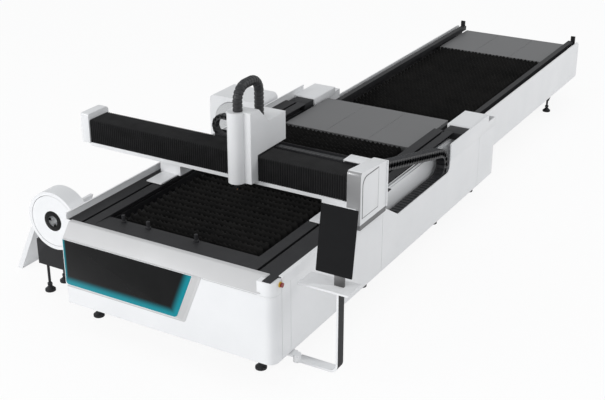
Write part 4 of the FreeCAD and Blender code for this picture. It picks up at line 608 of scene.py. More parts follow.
def stretchBetween(piece, still, moving, start, end, share):  # an even stretch between two bodies of a joint
    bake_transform(piece, still, moving, start=start, end=end)
    weights = piece.data.attributes["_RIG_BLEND"].data
    for vert, weight in zip(piece.data.vertices, weights):
        weight.value = min(1.0, max(0.0, share(vert.co)))


# places are measured as in the drawing, from the front panel's left end at floor level

drawingCorner = (0.7745, 4.465, 0)


def spot(x, y, z):
    return tuple(value - start for value, start in zip((x, y, z), drawingCorner))


def at(axis, value):
    return value - drawingCorner["xyz".index(axis)]


def block(name, low, high):
    return startBlock(name, spot(*low), spot(*high))


# pleated covers of the beam

pleats = {"pitch": 0.0252, "depth": 0.014, "corner": 0.012, "wall": 0.0016,
          "flank": 0.34,  # share of the depth at a quarter of the pitch
          "underHood": 0.047}  # how far the right cover runs on under the hood


def pleatedCover(name, node, leftBody, more):
    low, high = (Vector(corner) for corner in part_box(node))
    high.x += more
    count = round((high.x - low.x) / pleats["pitch"])
    pitch = (high.x - low.x) / count
    piece = startBlock(name, low, (low.x + pitch, high.y, high.z))
    openEdit(piece)
    pick(piece, "FACE", lambda middle, normal: abs(normal.x) > 0.9 or normal.z < -0.9)
    bpy.ops.mesh.delete(type="FACE")
    pick(piece, "EDGE", lambda a, b: abs(a.x - b.x) > pitch / 2)
    bpy.ops.mesh.subdivide(number_cuts=3)
    height, depth = high.z - low.z, high.y - low.y
    for share, sink in ((0, 1), (1, 1), (0.25, pleats["flank"]), (0.75, pleats["flank"])):
        x = low.x + share * pitch
        pick(piece, "VERT", lambda place: abs(place.x - x) < pitch / 20)
        inward = sink * pleats["depth"]
        bpy.ops.transform.resize(value=(1, 1 - 2 * inward / depth, 1 - inward / height),
                                 center_override=(x, (low.y + high.y) / 2, low.z))
    nearTop = high.z - 2 * pleats["depth"]
    pick(piece, "EDGE", lambda a, b: abs(a.x - b.x) > pitch / 10 and min(a.z, b.z) > nearTop)
    bpy.ops.mesh.bevel(offset=pleats["corner"], segments=2)
    closeEdit()
    useModifier(piece, "ARRAY", count=count, use_relative_offset=False, use_constant_offset=True,
                constant_offset_displace=(pitch, 0, 0), use_merge_vertices=True, merge_threshold=0.0004)
    useModifier(piece, "SOLIDIFY", thickness=pleats["wall"], offset=-1)
    finishPiece(piece, None, "bellows_cloth", [node], angle=50)
    start, end = (low.x, low.y, low.z), (high.x, low.y, low.z)
    if leftBody == "head":
        start, end = end, start
    stretchBetween(piece, "gantry", "head", start, end,
                   lambda place: (place.x - start[0]) / (end[0] - start[0]))


pleatedCover("leftPleats", "left_bellows", "gantry", 0)
pleatedCover("rightPleats", "right_bellows", "head", pleats["underHood"])
print("pleated covers done")


# drag chains: one link, set along a line of points

chains = {
    "smoothAngle": 35,
    "side": {"width": 0.105, "height": 0.095, "pitch": 0.062, "lid": 0.004, "lidEdge": -0.16, "lidFrom": 0.52,
             "runStart": 0.07, "run": 0.6945, "top": 1.005, "end": 1.3635, "beyond": 0.045},
    "head": {"width": 0.070, "height": 0.044, "pitch": 0.046, "lid": 0.003, "lidEdge": 0.46, "lidFrom": 0.6},
}


def makeLink(name, look):  # a link about the origin: it runs along Y, with its width along X
    width, height, pitch = look["width"], look["height"], look["pitch"]
    reach = pitch * 0.47
    link = startBlock(name, (-width / 2, -reach, -height / 2), (width / 2, reach, height / 2))
    stepFaces(link, facing("x", 0), height * 0.15, -width * 0.045)
    stepFaces(link, facing("z", 0), pitch * 0.13, -height * 0.08)
    roundOff(link, height * 0.04, 1, 60)
    pins = [startRound("pin", (0, side * pitch / 2, 0), height * 0.27, width * 0.985, "X", 14)
            for side in (-1, 1)]
    return joinAll([link] + pins, name)


def alongLine(points, pitch):  # even places on a line, each with its direction and its share of the way
    lengths = [(b - a).length for a, b in zip(points[:-1], points[1:])]
    total = sum(lengths)
    count = round(total / pitch)
    places = []
    for i in range(count):
        reach = (i + 0.5) * total / count
        k = 0
        while k < len(lengths) - 1 and reach > lengths[k]:
            reach -= lengths[k]
            k += 1
        heading = (points[k + 1] - points[k]).normalized()
        places.append((points[k] + heading * reach, heading, (i + 0.5) / count))
    return places


def chainLine(start, bend, end, low, high, turns=14):  # (along, level): run, half turn, rising run back
    radius = (high - low) / 2
    sign = 1 if bend > start else -1
    rise = math.atan2(end[1] - high, abs(bend - end[0]))
    line = [Vector((start, low)), Vector((bend, low))]
    for i in range(1, turns + 1):
        angle = (math.pi - rise) * i / turns
        line.append(Vector((bend + sign * radius * math.sin(angle), low + radius - radius * math.cos(angle))))
    line.append(Vector(end))
    return line


def layChain(name, look, line, toPlace, turn):
    link = makeLink(name + "Link", look)
    top = look["height"] / 2
    lid = startBlock(name + "Lid", (-look["width"] * 0.46, -look["pitch"] * 0.42, top - 0.001),
                     (look["width"] * look["lidEdge"], look["pitch"] * 0.42, top + look["lid"]))
    stepFaces(lid, facing("z"), look["pitch"] * 0.08, look["lid"] * 0.3)
    links, lids = [], []
    for place, heading, way in alongLine(line, look["pitch"]):
        pose = toPlace(place), turn(heading)
        links.append(copyOf(link, *pose))
        if way > look["lidFrom"]:
            lids.append(copyOf(lid, *pose))
    for model in (link, lid):
        bpy.data.objects.remove(model)
    return joinAll(links, name), joinAll(lids, name + "Lids")


def finishChain(pieces, lidSlot, node, bodies, start, end, share):
    for piece, slot, stands in zip(pieces, ("chain_plastic", lidSlot), ([node], ())):
        finishPiece(piece, None, slot, stands, chains["smoothAngle"])
        stretchBetween(piece, *bodies, start, end, share)


def laySideChain():
    low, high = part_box("y_drag_chain")
    look = chains["side"]
    run, level = look["run"], look["top"]
    bend = high.y + look["beyond"] - look["height"] / 2 - (level - run) / 2
    line = chainLine(low.y + look["runStart"], bend, (low.y - look["beyond"], look["end"]), run, level)
    middle = (low.x + high.x) / 2
    pieces = layChain("sideChain", look, line, lambda place: (middle, place[0], place[1]),
                      lambda heading: (math.atan2(heading[1], heading[0]), 0, 0))
    knee = (run + level) / 2

    def share(place):  # still on the tray, half way round the bend, and with the gantry at its end
        if place.z > knee or place.y > bend:
            return 0.5 + 0.5 * min(1.0, max(0.0, bend - place.y) / (bend - low.y) * 1.03)
        return 0.0

    finishChain(pieces, "grey_plate", "y_drag_chain", ("root", "gantry"), (middle, bend, low.z),
                (middle, low.y, high.z), share)


def layHeadChain():
    low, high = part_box("x_drag_chain")
    look = chains["head"]
    half = look["height"] / 2
    radius = (high.z - low.z) / 2 - half
    bend = low.x + radius + half
    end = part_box("head_cover")[0].x - 0.002
    line = chainLine(high.x, bend, (end, high.z - half), low.z + half, high.z - half)
    middle = (low.y + high.y) / 2
    pieces = layChain("headChain", look, line, lambda place: (place[0], middle, place[1]),
                      lambda heading: (math.atan2(heading[1], -heading[0]), 0, math.pi / 2))
    knee = (low.z + high.z) / 2

    def share(place):  # with the gantry in the trough, three quarters with the head past the bend
        if place.z > knee:
            return 0.75 + 0.25 * min(1.0, max(0.0, place.x - bend) / (end - bend) * 1.02)
        return 0.75 * max(0.0, (bend - place.x) / radius)

    finishChain(pieces, "dark_sheet", "x_drag_chain", ("gantry", "head"), (high.x, middle, low.z),
                (end, middle, high.z), share)


laySideChain()
layHeadChain()
print("drag chains done")


# toothed slats of both pallets

slat = {"teeth": 73, "tooth": 0.019, "thick": 0.004, "count": 30, "pitch": 0.1}


def laySlats(name, node, body):
    look = slat
    low, high = (Vector(corner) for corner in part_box(node))
    root = high.z - look["tooth"]
    first = startBlock(name, low, (high.x, low.y + look["thick"], root))
    openEdit(first)
    pick(first, "EDGE", lambda a, b: abs(a.x - b.x) > 1)
    bpy.ops.mesh.subdivide(number_cuts=2 * look["teeth"] - 1)
    closeEdit()
    step = (high.x - low.x) / (2 * look["teeth"])
    movePoints(first, lambda place: place.z > root - 0.001 and round((place.x - low.x) / step) % 2 == 1,
               (0, 0, look["tooth"]))
    rows = [first] + [copyOf(first, (0, i * look["pitch"], 0)) for i in range(1, look["count"])]
    finishPiece(joinAll(rows, name), body, "slat_steel", [node], angle=20)


laySlats("upperSlatTeeth", "upper_pallet_slats", "upper_pallet")
laySlats("lowerSlatTeeth", "lower_pallet_slats", "lower_pallet")
print("slats done")


# right side: the cover sheet with its proud bands and the cut-out for the chain, then the tray behind it

sideCover = {"face": 2.25, "skin": 0.008, "front": 0.144, "rear": 4.96, "foot": 0.25, "rim": 1.052,
             "band": 0.095, "bandRear": 2.0, "rearBand": 0.192, "proud": 0.006, "lip": 0.03,
             "cutTop": 1.765, "cutFront": 2.373, "cutRear": 3.655, "cutFoot": 0.737, "cutRound": 0.065,
             "stepFront": 4.741, "stepFoot": 0.96, "seam": 0.004,
             "seams": ((0.288, 0.955), (2.03, 0.93), (4.5, 0.858))}


def makeSideCover():
    look = sideCover
    face, rim, rear, foot = look["face"], look["rim"], look["rear"], look["foot"]
    proud, past, skin = face + look["proud"], 0.05, look["skin"]
    cover = block("sideCover", (face - skin, look["front"], foot), (face, rear, rim))
    band = block("band", (face - 0.004, look["front"], rim - look["band"]), (proud, look["bandRear"], rim))
    rearBand = block("rearBand", (face - 0.004, look["cutRear"], rim - look["rearBand"]), (proud, rear, rim))
    lip = block("lip", (face - look["lip"], look["front"], rim - skin), (face - 0.002, look["bandRear"], rim))
    rearPlate = block("rearPlate", (tray["inner"], rear - skin, foot), (face - 0.001, rear, look["stepFoot"]))
    for strip in (band, rearBand):
        roundOff(strip, 0.002, 2)
    fuseWith(cover, band, rearBand, lip, rearPlate)
    window = block("window", (face - past, look["cutTop"], look["cutFoot"]),
                   (face + past, look["cutRear"], rim + past))
    front, low, back = at("y", look["cutTop"]) + 0.01, look["cutFoot"] + 0.01, at("y", look["cutRear"]) - 0.01
    movePoints(window, lambda place: place.y < front and place.z < low,
               (0, look["cutFront"] - look["cutTop"], 0))
    roundEdges(window, lambda a, b: min(a.y, b.y) > back and max(a.z, b.z) < low, look["cutRound"], 3)
    rearStep = block("rearStep", (face - past, look["stepFront"], look["stepFoot"]),
                     (face + past, rear + 0.01, rim + 0.01))
    half = look["seam"] / 2
    seams = [block("seam", (face - 0.004, y - half, foot - 0.01), (face + 0.01, y + half, top))
             for y, top in look["seams"]]
    cutAway(cover, window, rearStep, *seams)
    finishPiece(cover, "root", "painted_white", ["right_side_panel"])


tray = {"inner": 2.09, "outer": 2.2415, "front": 2.05, "rear": 4.63, "foot": 0.637, "wall": 0.935,
        "sheet": 0.008, "joint": 3.66, "slots": (3.8, 4.2, 4.55), "slotLeft": 2.14, "slot": (0.03, 0.02)}


def makeChainTray():  # the shallow tray under the chain and the white wall that stands behind it
    look = tray
    inner, outer, foot, sheet = look["inner"], look["outer"], look["foot"], look["sheet"]
    wall = block("trayWall", (inner, look["front"], foot), (inner + sheet, look["rear"], look["wall"]))
    fuseWith(wall, block("trayFloor", (inner, look["front"], foot), (outer, look["joint"], foot + sheet)),
             block("trayTail", (inner, look["joint"] - sheet, foot), (outer, look["rear"], foot + sheet)))
    left, (width, length) = look["slotLeft"], look["slot"]
    cutAway(wall, *[block("slot", (left, y, foot - 0.017), (left + width, y + length, foot + 0.023))
                    for y in look["slots"]])
    finishPiece(wall, "root", "painted_white", ["chain_tray"])


makeSideCover()
makeChainTray()
print("side covers done")


# the gantry's right end: hood with its grey front, wing over the beam and rear flange, then door, and a grey
# seal strip under the skirt whose grey is painted shadow of the skirt

hood = {"left": 2.158, "right": 2.303, "front": 1.442, "rear": 1.985, "foot": 1.15, "top": 1.522,
        "rearTop": 1.462, "skirt": 0.992, "skirtFace": 2.262, "round": 0.042,
        "wing": ((1.957, 1.752, 1.40), (2.17, 1.905, 1.478)),
        "wingHollow": ((1.965, 1.74, 1.39), (2.2, 1.897, 1.466)),
        "wingNotch": ((1.94, 1.74, 1.39), (1.966, 1.92, 1.454)),
        "door": (1.486, 1.795, 1.06, 1.452), "doorGap": 0.01, "doorRound": 0.085, "doorProud": 0.004,
        "shadowSealFoot": 0.94, "shadowSealFace": 2.2575}


def makeHood():
    look = hood
    right, top, rear = look["right"], look["top"], look["rear"]
    body = block("gantryHood", (look["left"], look["front"], look["foot"]), (right, rear, top))
    skirtFace = at("x", look["skirtFace"])
    openEdit(body)
    bpy.ops.mesh.select_all(action="SELECT")
    bpy.ops.mesh.bisect(plane_co=(skirtFace, 0, 0), plane_no=(1, 0, 0))
    pick(body, "FACE", lambda middle, normal: normal.z < -0.9 and middle.x > skirtFace)
    bpy.ops.mesh.extrude_region_move(TRANSFORM_OT_translate={"value": (0, 0, look["skirt"] - look["foot"])})
    closeEdit()
    front, back = at("y", look["front"]) + 0.001, at("y", rear) - 0.001
    movePoints(body, lambda place: place.y > back and place.z > top - 0.001, (0, 0, look["rearTop"] - top))
    roundEdges(body, lambda a, b: max(a.y, b.y) < front and min(a.z, b.z) > top - 0.001, look["round"], 6)
    roundOff(body, 0.005, 3, 50)
    wing = block("wing", *look["wing"])
    cutAway(wing, block("hollow", *look["wingHollow"]), block("notch", *look["wingNotch"]))
    roundOff(wing, 0.003, 2, 50)
    flange = block("flange", (right - 0.013, rear - 0.012, look["skirt"]),
                   (right + 0.008, rear + 0.012, look["rearTop"] - 0.004))
    roundOff(flange, 0.003, 2)
    finishPiece(joinAll([body, wing, flange], "gantryHood"), "gantry", "painted_white", ["right_housing"])
    faceFinish(body, "grey_front", lambda middle, normal: normal.y < -0.35 and middle.y < front + 0.03)
    doorFront, doorRear, doorFoot, doorTop = look["door"]
    for name, grow, proud, slot in (("doorGasket", look["doorGap"], 0.0015, "grey_plate"),
                                    ("hoodDoor", 0, look["doorProud"], "painted_white")):
        plate = block(name, (right - 0.004, doorFront - grow, doorFoot - grow),
                      (right + proud, doorRear + grow, doorTop + grow))
        ahead, above = at("y", doorFront) + 0.014, doorTop - 0.05
        roundEdges(plate, lambda a, b: abs(a.x - b.x) > 0.004 and max(a.y, b.y) < ahead
                   and min(a.z, b.z) > above, look["doorRound"], 6)
        roundOff(plate, 0.0012, 2, 50)
        finishPiece(plate, "gantry", slot)
    # painted shadow: this grey strip under the skirt stands for the shadow the skirt casts on the side cover,
    # shaped as a seal lip
    shadowSeal = block("skirtShadowSeal", (look["shadowSealFace"], look["front"] + 0.01, look["shadowSealFoot"]),
                 (right - 0.003, rear - 0.004, look["skirt"] + 0.002))
    stepFaces(shadowSeal, facing("x"), 0.006, -0.004)
    finishPiece(shadowSeal, "gantry", "grey_plate")


makeHood()
print("hood done")


# front: lit window with its surround and seam, sloping cover, corner post, with painted shade on the
# surround's slanted faces and painted shadow along the seam and under the cover

windowShape = {"left": 0.006, "right": 1.446, "foot": 0.457, "top": 0.915, "slant": 0.185, "proud": 0.020,
               "round": 0.03, "rim": 0.080, "rimFoot": 0.026, "rimRound": 0.02, "sheetTop": 0.918,
               "sheetRear": 0.004, "rightPart": 0.3,
               "glow": 0.098, "fullGlow": 0.016, "leftGlow": 0.012, "leftFade": 2.6,
               "light": (0.001, 0.25, 0.31), "roughness": 0.10,
               "colour": (0.004, 0.0042, 0.0045), "shade": (0.0065, 0.0067, 0.007)}


def litGlassFinish():  # black glass, lit along its left, lower and slanted edges
    look = windowShape
    material, tree, shader, place = newFinish("litGlass")
    shade = useGroup(tree, "skin", place, Scale=40, Patch=3).outputs["Shade"]
    tree.links.new(twoShades(tree, shade, look), shader.inputs["Base Color"])
    tree.links.new(glossOf(tree, shade, look, 0, 0.05), shader.inputs["Roughness"])
    split = tree.nodes.new("ShaderNodeSeparateXYZ")
    tree.links.new(place, split.inputs[0])
    x, z = split.outputs["X"], split.outputs["Z"]
    height = look["top"] - look["foot"]
    reach = math.hypot(look["slant"], height)
    below = mathNode(tree, "SUBTRACT", z, look["foot"])
    across = mathNode(tree, "SUBTRACT", at("x", look["right"] - look["slant"]), x)
    beside = mathNode(tree, "ADD", mathNode(tree, "MULTIPLY", across, height / reach),
                      mathNode(tree, "MULTIPLY", below, look["slant"] / reach))
    left = mathNode(tree, "MULTIPLY", mathNode(tree, "SUBTRACT", x, at("x", look["left"])), look["leftFade"])
    left = mathNode(tree, "ADD", left, look["leftGlow"])
    near = mathNode(tree, "MINIMUM", mathNode(tree, "MINIMUM", below, beside), left)
    fade = addNode(tree, "ShaderNodeMapRange", {"From Min": look["glow"], "From Max": look["fullGlow"]},
                   interpolation_type="SMOOTHSTEP")
    tree.links.new(near, fade.inputs["Value"])
    tree.links.new(mixColours(tree, fade.outputs["Result"], (0.0, 0.0, 0.0), look["light"]),
                   shader.inputs["Emission Color"])
    setInputs(shader, {"Specular IOR Level": 0.12, "Emission Strength": 1.0})
    return material


def windowSheet(name, left, grow, back):  # a sheet of the window's outline, wider by its rims
    look = windowShape
    rim, foot = look["rim"] + grow, look["foot"]
    sheet = block(name, (left, back - look["proud"] + 0.0015, foot - look["rimFoot"] - grow),
                  (look["right"] + rim, look["sheetRear"], look["sheetTop"]))
    edge = at("x", look["right"] + rim) - 0.001
    movePoints(sheet, lambda place: place.x > edge and place.z < foot, (-look["slant"] - 0.012, 0, 0))
    roundEdges(sheet, lambda a, b: abs(a.y - b.y) > 0.001 and min(a.x, b.x) > look["rightPart"]
               and max(a.z, b.z) < foot, look["rimRound"])
    return sheet


def makeWindow():
    look = windowShape
    foot = look["foot"]
    glass = block("litWindow", (look["left"], -look["proud"], foot), (look["right"], -0.001, look["top"]))
    edge = at("x", look["right"]) - 0.001
    movePoints(glass, lambda place: place.x > edge and place.z < foot + 0.001, (-look["slant"], 0, 0))
    roundEdges(glass, lambda a, b: abs(a.y - b.y) > 0.01 and max(a.z, b.z) < foot + 0.001, look["round"], 5)
    roundOff(glass, 0.0015, 2, 60)
    finishPiece(glass, "root", "black_glass", ["front_window", "window_light_strip"])
    glass.data.materials[0] = litGlassFinish()
    surround = windowSheet("windowSurround", 0, 0, 0)
    front = at("y", -look["proud"]) + 0.004
    movePoints(surround, lambda place: place.y < front and place.x > look["rightPart"],
               (0.004 - look["rim"], 0, 0))
    movePoints(surround, lambda place: place.y < front and place.z < foot + 0.01,
               (0, 0, look["rimFoot"] - 0.004))
    finishPiece(surround, "root", "painted_white")
    # painted shade: the surround's faces that turn right and forward take the grey finish, for the shade that
    # falls on them
    faceFinish(surround, "grey_cover", lambda middle, normal: normal.x > 0.12 and normal.y < -0.05)
    # the seam sheet shows as a grey outline round the surround: the seam, with painted shadow along it
    finishPiece(windowSheet("windowSeamShadow", 0.0005, 0.009, 0.017), "root", "grey_cover")


fascia = {"foot": 0.92, "rim": 1.052, "overhang": 0.012, "setback": 0.09, "depth": 0.14, "end": 2.14,
          "round": 0.03, "postWidth": 0.05, "postRight": 2.25, "postFoot": 0.9, "postTop": 1.0367,
          "postRound": 0.085, "button": (2.25, 0.112, 0.992), "buttonHole": 0.023, "shadowGapLeft": 1.545,
          "shadowGapRight": 2.12}


def makeFascia():
    look = fascia
    foot, rim, depth, end = look["foot"], look["rim"], look["depth"], look["end"]
    cover = block("slopingCover", (0, -look["overhang"], foot), (end, depth, rim))
    front, right = at("y", -look["overhang"]) + 0.001, at("x", end) - 0.001
    movePoints(cover, lambda place: place.y < front and place.z > rim - 0.001,
               (0, look["setback"] + look["overhang"], 0))
    roundEdges(cover, lambda a, b: min(a.x, b.x) > right and abs(a.z - b.z) > 0.1 and min(a.y, b.y) < front,
               look["round"])
    roundOff(cover, 0.006, 3, 30)
    finishPiece(cover, "root", "grey_cover", ["front_fascia"])
    post = block("cornerPost", (end - look["postWidth"], 0, look["postFoot"]),
                 (look["postRight"], depth, look["postTop"]))
    corner, ahead = at("x", look["postRight"]) - 0.001, at("y", 0.001)
    roundEdges(post, lambda a, b: min(a.x, b.x) > corner and max(a.y, b.y) < ahead, look["postRound"], 10)
    roundOff(post, 0.002, 2, 50)
    cutAway(post, startRound("buttonHole", spot(*look["button"]), look["buttonHole"], 0.02, "X"))
    back = block("coverBack", (0, 0.002, look["postFoot"] - 0.001), (end - 0.03, depth - 0.01, foot + 0.01))
    finishPiece(joinAll([post, back], "cornerPost"), "root", "painted_white")
    # painted shadow: a grey strip under the cover's overhang stands for the shadow it casts, set in as a seam
    shadowGap = block("fasciaShadowGap", (look["shadowGapLeft"], 0.0004, foot - 0.015), (look["shadowGapRight"], 0.01, foot + 0.001))
    stepFaces(shadowGap, facing("y", -1), 0.002, -0.002)
    finishPiece(shadowGap, "root", "grey_plate")


makeWindow()
makeFascia()
print("front covers done")


# monitor on the console: a flat dark slab that leans back on its pin

monitorLook = {"low": (2.470, 0.338, 1.084), "high": (2.824, 0.384, 1.682), "lean": 9, "round": 0.012,
               "bezel": 0.006, "paneProud": 0.004, "hinge": (0.361, 1.25),
               "vents": 9, "ventStart": 0.08, "ventPitch": 0.022, "ventWidth": 0.008, "ventFoot": 1.3,
               "ventTop": 1.42, "lugs": (2.612, 2.678), "lugWidth": 0.02, "lugLow": (0.352, 1.085),
               "lugHigh": (0.388, 1.16)}


def makeMonitor():
    look = monitorLook
    low, high, bezel = look["low"], look["high"], look["bezel"]
    shell = block("monitorShell", low, high)
    roundEdges(shell, lambda a, b: abs(a.y - b.y) > 0.02, look["round"])
    stepFaces(shell, facing("y"), 0.03, 0.012)
    roundOff(shell, 0.003, 3, 50)
    for k in range(look["vents"]):
        x = low[0] + look["ventStart"] + k * look["ventPitch"]
        cutAway(shell, block("vent", (x, high[1] + 0.004, look["ventFoot"]),
                             (x + look["ventWidth"], high[1] + 0.03, look["ventTop"])))
    lugs = [block("lug", (x, *look["lugLow"]), (x + look["lugWidth"], *look["lugHigh"]))
            for x in look["lugs"]]
    for lug in lugs:
        roundOff(lug, 0.006, 3)
    pane = block("monitorPane", (low[0] + bezel, low[1] - look["paneProud"], low[2] + bezel),
                 (high[0] - bezel, low[1] + 0.001, high[2] - bezel))
    roundEdges(pane, lambda a, b: abs(a.y - b.y) > 0.003, look["round"] * 0.75)
    hinge = spot((low[0] + high[0]) / 2, *look["hinge"])
    for piece in (shell, pane):
        openEdit(piece)
        bpy.ops.mesh.select_all(action="SELECT")
        bpy.ops.transform.rotate(value=math.radians(look["lean"]), orient_axis="X", center_override=hinge)
        closeEdit()
    finishPiece(joinAll([shell] + lugs, "monitorShell"), "monitor", "monitor_shell", ["monitor_housing"])
    finishPiece(pane, "monitor", "black_glass", ["monitor_screen"])


makeMonitor()
print("monitor done")


# console: white arm whose outer side is black, and the tray with its grey neck

consoleLook = {"blackFrom": 1.86, "neckFoot": 0.975}


def makeConsole():
    look = consoleLook
    arm = finishPiece(nodeCopy("consoleArm", "console_arm"), "console", "painted_white", ["console_arm"])
    faceFinish(arm, "dark_sheet", lambda middle, normal: middle.x > look["blackFrom"]
               and (normal.x > 0.35 or normal.z < -0.8))
    shelf = finishPiece(nodeCopy("consoleTray", "console_tray"), "console", "painted_white", ["console_tray"])
    faceFinish(shelf, "grey_plate", lambda middle, normal: middle.z > look["neckFoot"])


# front chuck: black ring round the bore on the disc, painted shade that makes the bore's dark inside look
# wider

chuck = {"x": -0.443, "z": 0.842, "face": 0.3495, "radius": 0.103, "bore": 0.056, "thick": 0.004}


def makeChuckRing():
    look = chuck
    x, face, z = look["x"], look["face"], look["z"]
    ring = startRound("chuckBoreShade", spot(x, face + 0.001, z), look["radius"], look["thick"], "Y", 48)
    roundOff(ring, 0.001, 2, 50)
    cutAway(ring, startRound("hole", spot(x, face, z), look["bore"], 0.03, "Y", 32))
    finishPiece(ring, "front_rotor", "black_glass")


makeConsole()
makeChuckRing()
print("console and chuck done")


# ends of both rails: white blocks, the covers' dark ends before them and dark liners beside the pallets

rails = {"sides": ((-0.048, 0.245), (1.957, 2.2415)), "front": 4.225, "rear": 4.738, "top": 1.052,
         "foot": 0.96, "capFront": 4.02, "capTop": 1.04, "capInset": (0.04, 0.02),
         "liners": ((0.1895, -1), (1.927, 1)), "liner": 0.0035,  # each liner's left side and its flange's way
         "linerFront": 0.41, "linerRear": 4.22, "linerFoot": 0.853, "linerTop": 0.9605, "flange": 0.048}


def makeRailEnds():
    look = rails
    ends, caps, liners = [], [], []
    for left, right in look["sides"]:
        end = block("railEnd", (left, look["front"], look["foot"]), (right, look["rear"], look["top"]))
        roundOff(end, 0.006, 3)
        stepFaces(end, facing("z"), 0.004, 0.001)
        ends.append(end)
        inLeft, inRight = look["capInset"]
        cap = block("coverEnd", (left + inLeft, look["capFront"], look["foot"]),
                    (right - inRight, look["front"] + 0.001, look["capTop"]))
        roundOff(cap, 0.003, 2)
        caps.append(cap)
    finishPiece(joinAll(ends, "railEnds"), "root", "painted_white", ["end_blocks"])
    finishPiece(joinAll(caps, "coverEnds"), "root", "dark_sheet")
    front, rear, top = look["linerFront"], look["linerRear"], look["linerTop"]
    for left, way in look["liners"]:
        right, side = left + look["liner"], look["flange"] * way
        liner = block("liner", (left, front, look["linerFoot"]), (right, rear, top))
        stepFaces(liner, facing("x", 0), 0.01, 0.0005)
        flange = block("flange", (left + min(side, 0), front, top - 0.0003),
                       (right + max(side, 0), rear, top + 0.0021))
        roundOff(flange, 0.0008, 1)
        liners += [liner, flange]
    finishPiece(joinAll(liners, "bedLiners"), "root", "black_steel")


makeRailEnds()


# levelling feet: one of each height, copied to every place where the frame stands, and the rear struts

feet = {"radius": 0.054, "pad": 0.022, "rings": ((0.012, 0.005), (0.016, 0.022), (0.010, 0.006)),
        "stem": 0.014, "stemFoot": 0.05, "nut": 0.0266, "nutHeight": 0.026, "nutLevel": 0.075,
        "topNutHeight": 0.025, "topNutDrop": 0.013, "tallFrom": 0.2,
        "places": (  # x, y, height
            (0.11, 0.275, 0.3), (0.11, 2.08, 0.3), (0.11, 3.81, 0.3), (0.11, 4.86, 0.3), (0.25, 5.4, 0.34),
            (0.25, 8.094, 0.34), (1.95, 0.27, 0.3), (2.01, 2.08, 0.3), (2.01, 3.81, 0.3), (2.01, 4.86, 0.3),
            (1.87, 5.4, 0.34), (1.87, 8.094, 0.34), (-0.64, 0.65, 0.32), (-0.64, 0.43, 0.32),
            (-0.122, 0.65, 0.215), (-0.583, 2.05, 0.12), (-0.303, 2.05, 0.12), (-0.583, 3.425, 0.12),
            (-0.303, 3.425, 0.12), (-0.583, 4.8, 0.12), (-0.303, 4.8, 0.12))}
strutLook = {"low": (-0.022, -0.15, -0.03), "high": (0.022, 0.15, 0.03), "thinEnd": 0.6, "lean": 38,
             "places": ((0.25, 8.215, 0.25), (1.87, 8.215, 0.25))}


def makeFoot(height):
    look = feet
    pad = startRound("foot", (0, 0, look["pad"] / 2), look["radius"], look["pad"], "Z", 20)
    openEdit(pad)
    pick(pad, "FACE", facing("z"))
    for inset, rise in look["rings"]:
        bpy.ops.mesh.inset(thickness=inset, depth=0)
        bpy.ops.transform.translate(value=(0, 0, rise))
    closeEdit()
    roundOff(pad, 0.003, 2, 60)
    low = look["stemFoot"]
    stem = startRound("stem", (0, 0, (low + height) / 2), look["stem"], height - low, "Z", 14)
    roundOff(stem, 0.002, 1, 60)
    nuts = [startRound("nut", (0, 0, look["nutLevel"]), look["nut"], look["nutHeight"], "Z", 6)]
    if height > look["tallFrom"]:
        level = height - look["topNutDrop"]
        nuts.append(startRound("topNut", (0, 0, level), look["nut"], look["topNutHeight"], "Z", 6))
    for nut in nuts:
        roundOff(nut, 0.002, 1, 40)
    return joinAll([pad, stem] + nuts, "foot")


def makeFeet():
    models = {height: makeFoot(height) for height in sorted({place[2] for place in feet["places"]})}
    copies = [copyOf(models[height], spot(x, y, 0)) for x, y, height in feet["places"]]
    for model in models.values():
        bpy.data.objects.remove(model)
    finishPiece(joinAll(copies, "levellingFeet"), "root", "black_steel", ["levelling_feet"])


def makeStruts():
    look = strutLook
    low, high = look["low"], look["high"]
    strut = startBlock("strut", low, high)
    openEdit(strut)
    pick(strut, "VERT", lambda place: place.y < 0)
    bpy.ops.transform.resize(value=(1, 1, look["thinEnd"]), center_override=(0, low[1], high[2]))
    closeEdit()
    roundOff(strut, 0.004, 2)
    copies = [copyOf(strut, spot(*place), (math.radians(look["lean"]), 0, 0)) for place in look["places"]]
    bpy.data.objects.remove(strut)
    finishPiece(joinAll(copies, "footStruts"), "root", "black_steel")


makeFeet()
makeStruts()
print("rail ends and feet done")


# chuck stand, shorter than the drawing's so that the chute shows beside it, and the chute's arm

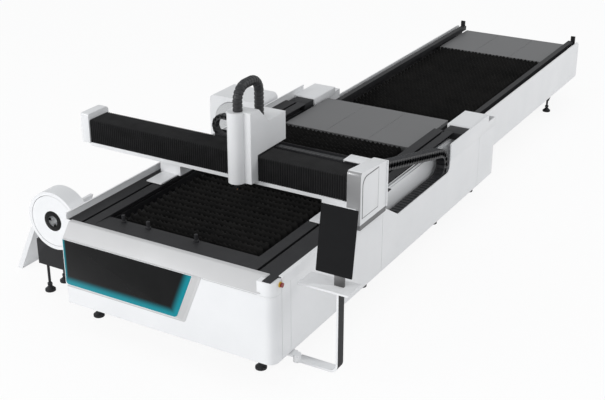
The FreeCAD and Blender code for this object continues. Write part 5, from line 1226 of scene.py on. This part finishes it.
stand = {"cutLow": (-0.9, 0.3, 0.1), "sideCut": (-0.70, 0.8, 0.7), "footCut": (-0.3, 0.8, 0.32),
         "armRight": -0.695, "chuteTip": 0.004, "overlap": 0.03, "inset": 0.002}


def makeStand():
    look = stand
    piece = nodeCopy("chuckStand", "chuck_base")
    cutAway(piece, *[block("cut", look["cutLow"], high) for high in (look["sideCut"], look["footCut"])])
    finishPiece(piece, "root", "black_steel", ["chuck_base"])
    points = [vert.co for vert in nodes["discharge_chute"].data.vertices]
    end = max(point.x for point in points)
    tip = [point for point in points if point.x > end - look["chuteTip"]]
    ys, zs = [point.y for point in tip], [point.z for point in tip]
    inset = look["inset"]
    arm = startBlock("chuteArm", (end - look["overlap"], min(ys) + inset, min(zs) + inset),
                     (at("x", look["armRight"]), max(ys) - inset, max(zs) - inset))
    roundOff(arm, 0.003, 2)
    finishPiece(arm, "root", "painted_white")


# trough of the head's chain, its left end cut off, and the cap on the beam's left end

beamEnd = {"troughCut": ((0.3, 1.5, 1.15), (0.5, 1.95, 1.5)), "low": (-0.962, 1.444, 1.196),
           "high": (-0.8605, 1.772, 1.516), "rearRound": 0.05, "frontRound": 0.02}


def makeTrough():
    trough = nodeCopy("headTrough", "chain_trough")
    cutAway(trough, block("cut", *beamEnd["troughCut"]))
    finishPiece(trough, "gantry", "dark_sheet", ["chain_trough"])


def makeEndCap():
    look = beamEnd
    cap = block("endCap", look["low"], look["high"])
    front, rear = at("y", look["low"][1]) + 0.03, at("y", look["high"][1]) - 0.001
    top = look["high"][2] - 0.001
    roundEdges(cap, lambda a, b: abs(a.x - b.x) > 0.05 and min(a.y, b.y) > rear and min(a.z, b.z) > top,
               look["rearRound"], 6)
    roundEdges(cap, lambda a, b: abs(a.x - b.x) > 0.05 and max(a.y, b.y) < front and min(a.z, b.z) > top,
               look["frontRound"])
    roundOff(cap, 0.004, 3, 50)
    stepFaces(cap, facing("x", -1), 0.012, -0.003)
    finishPiece(cap, "gantry", "painted_white", ["beam_end_cap"])


makeStand()
makeTrough()
makeEndCap()
print("stand and beam end done")


print("scene ready")
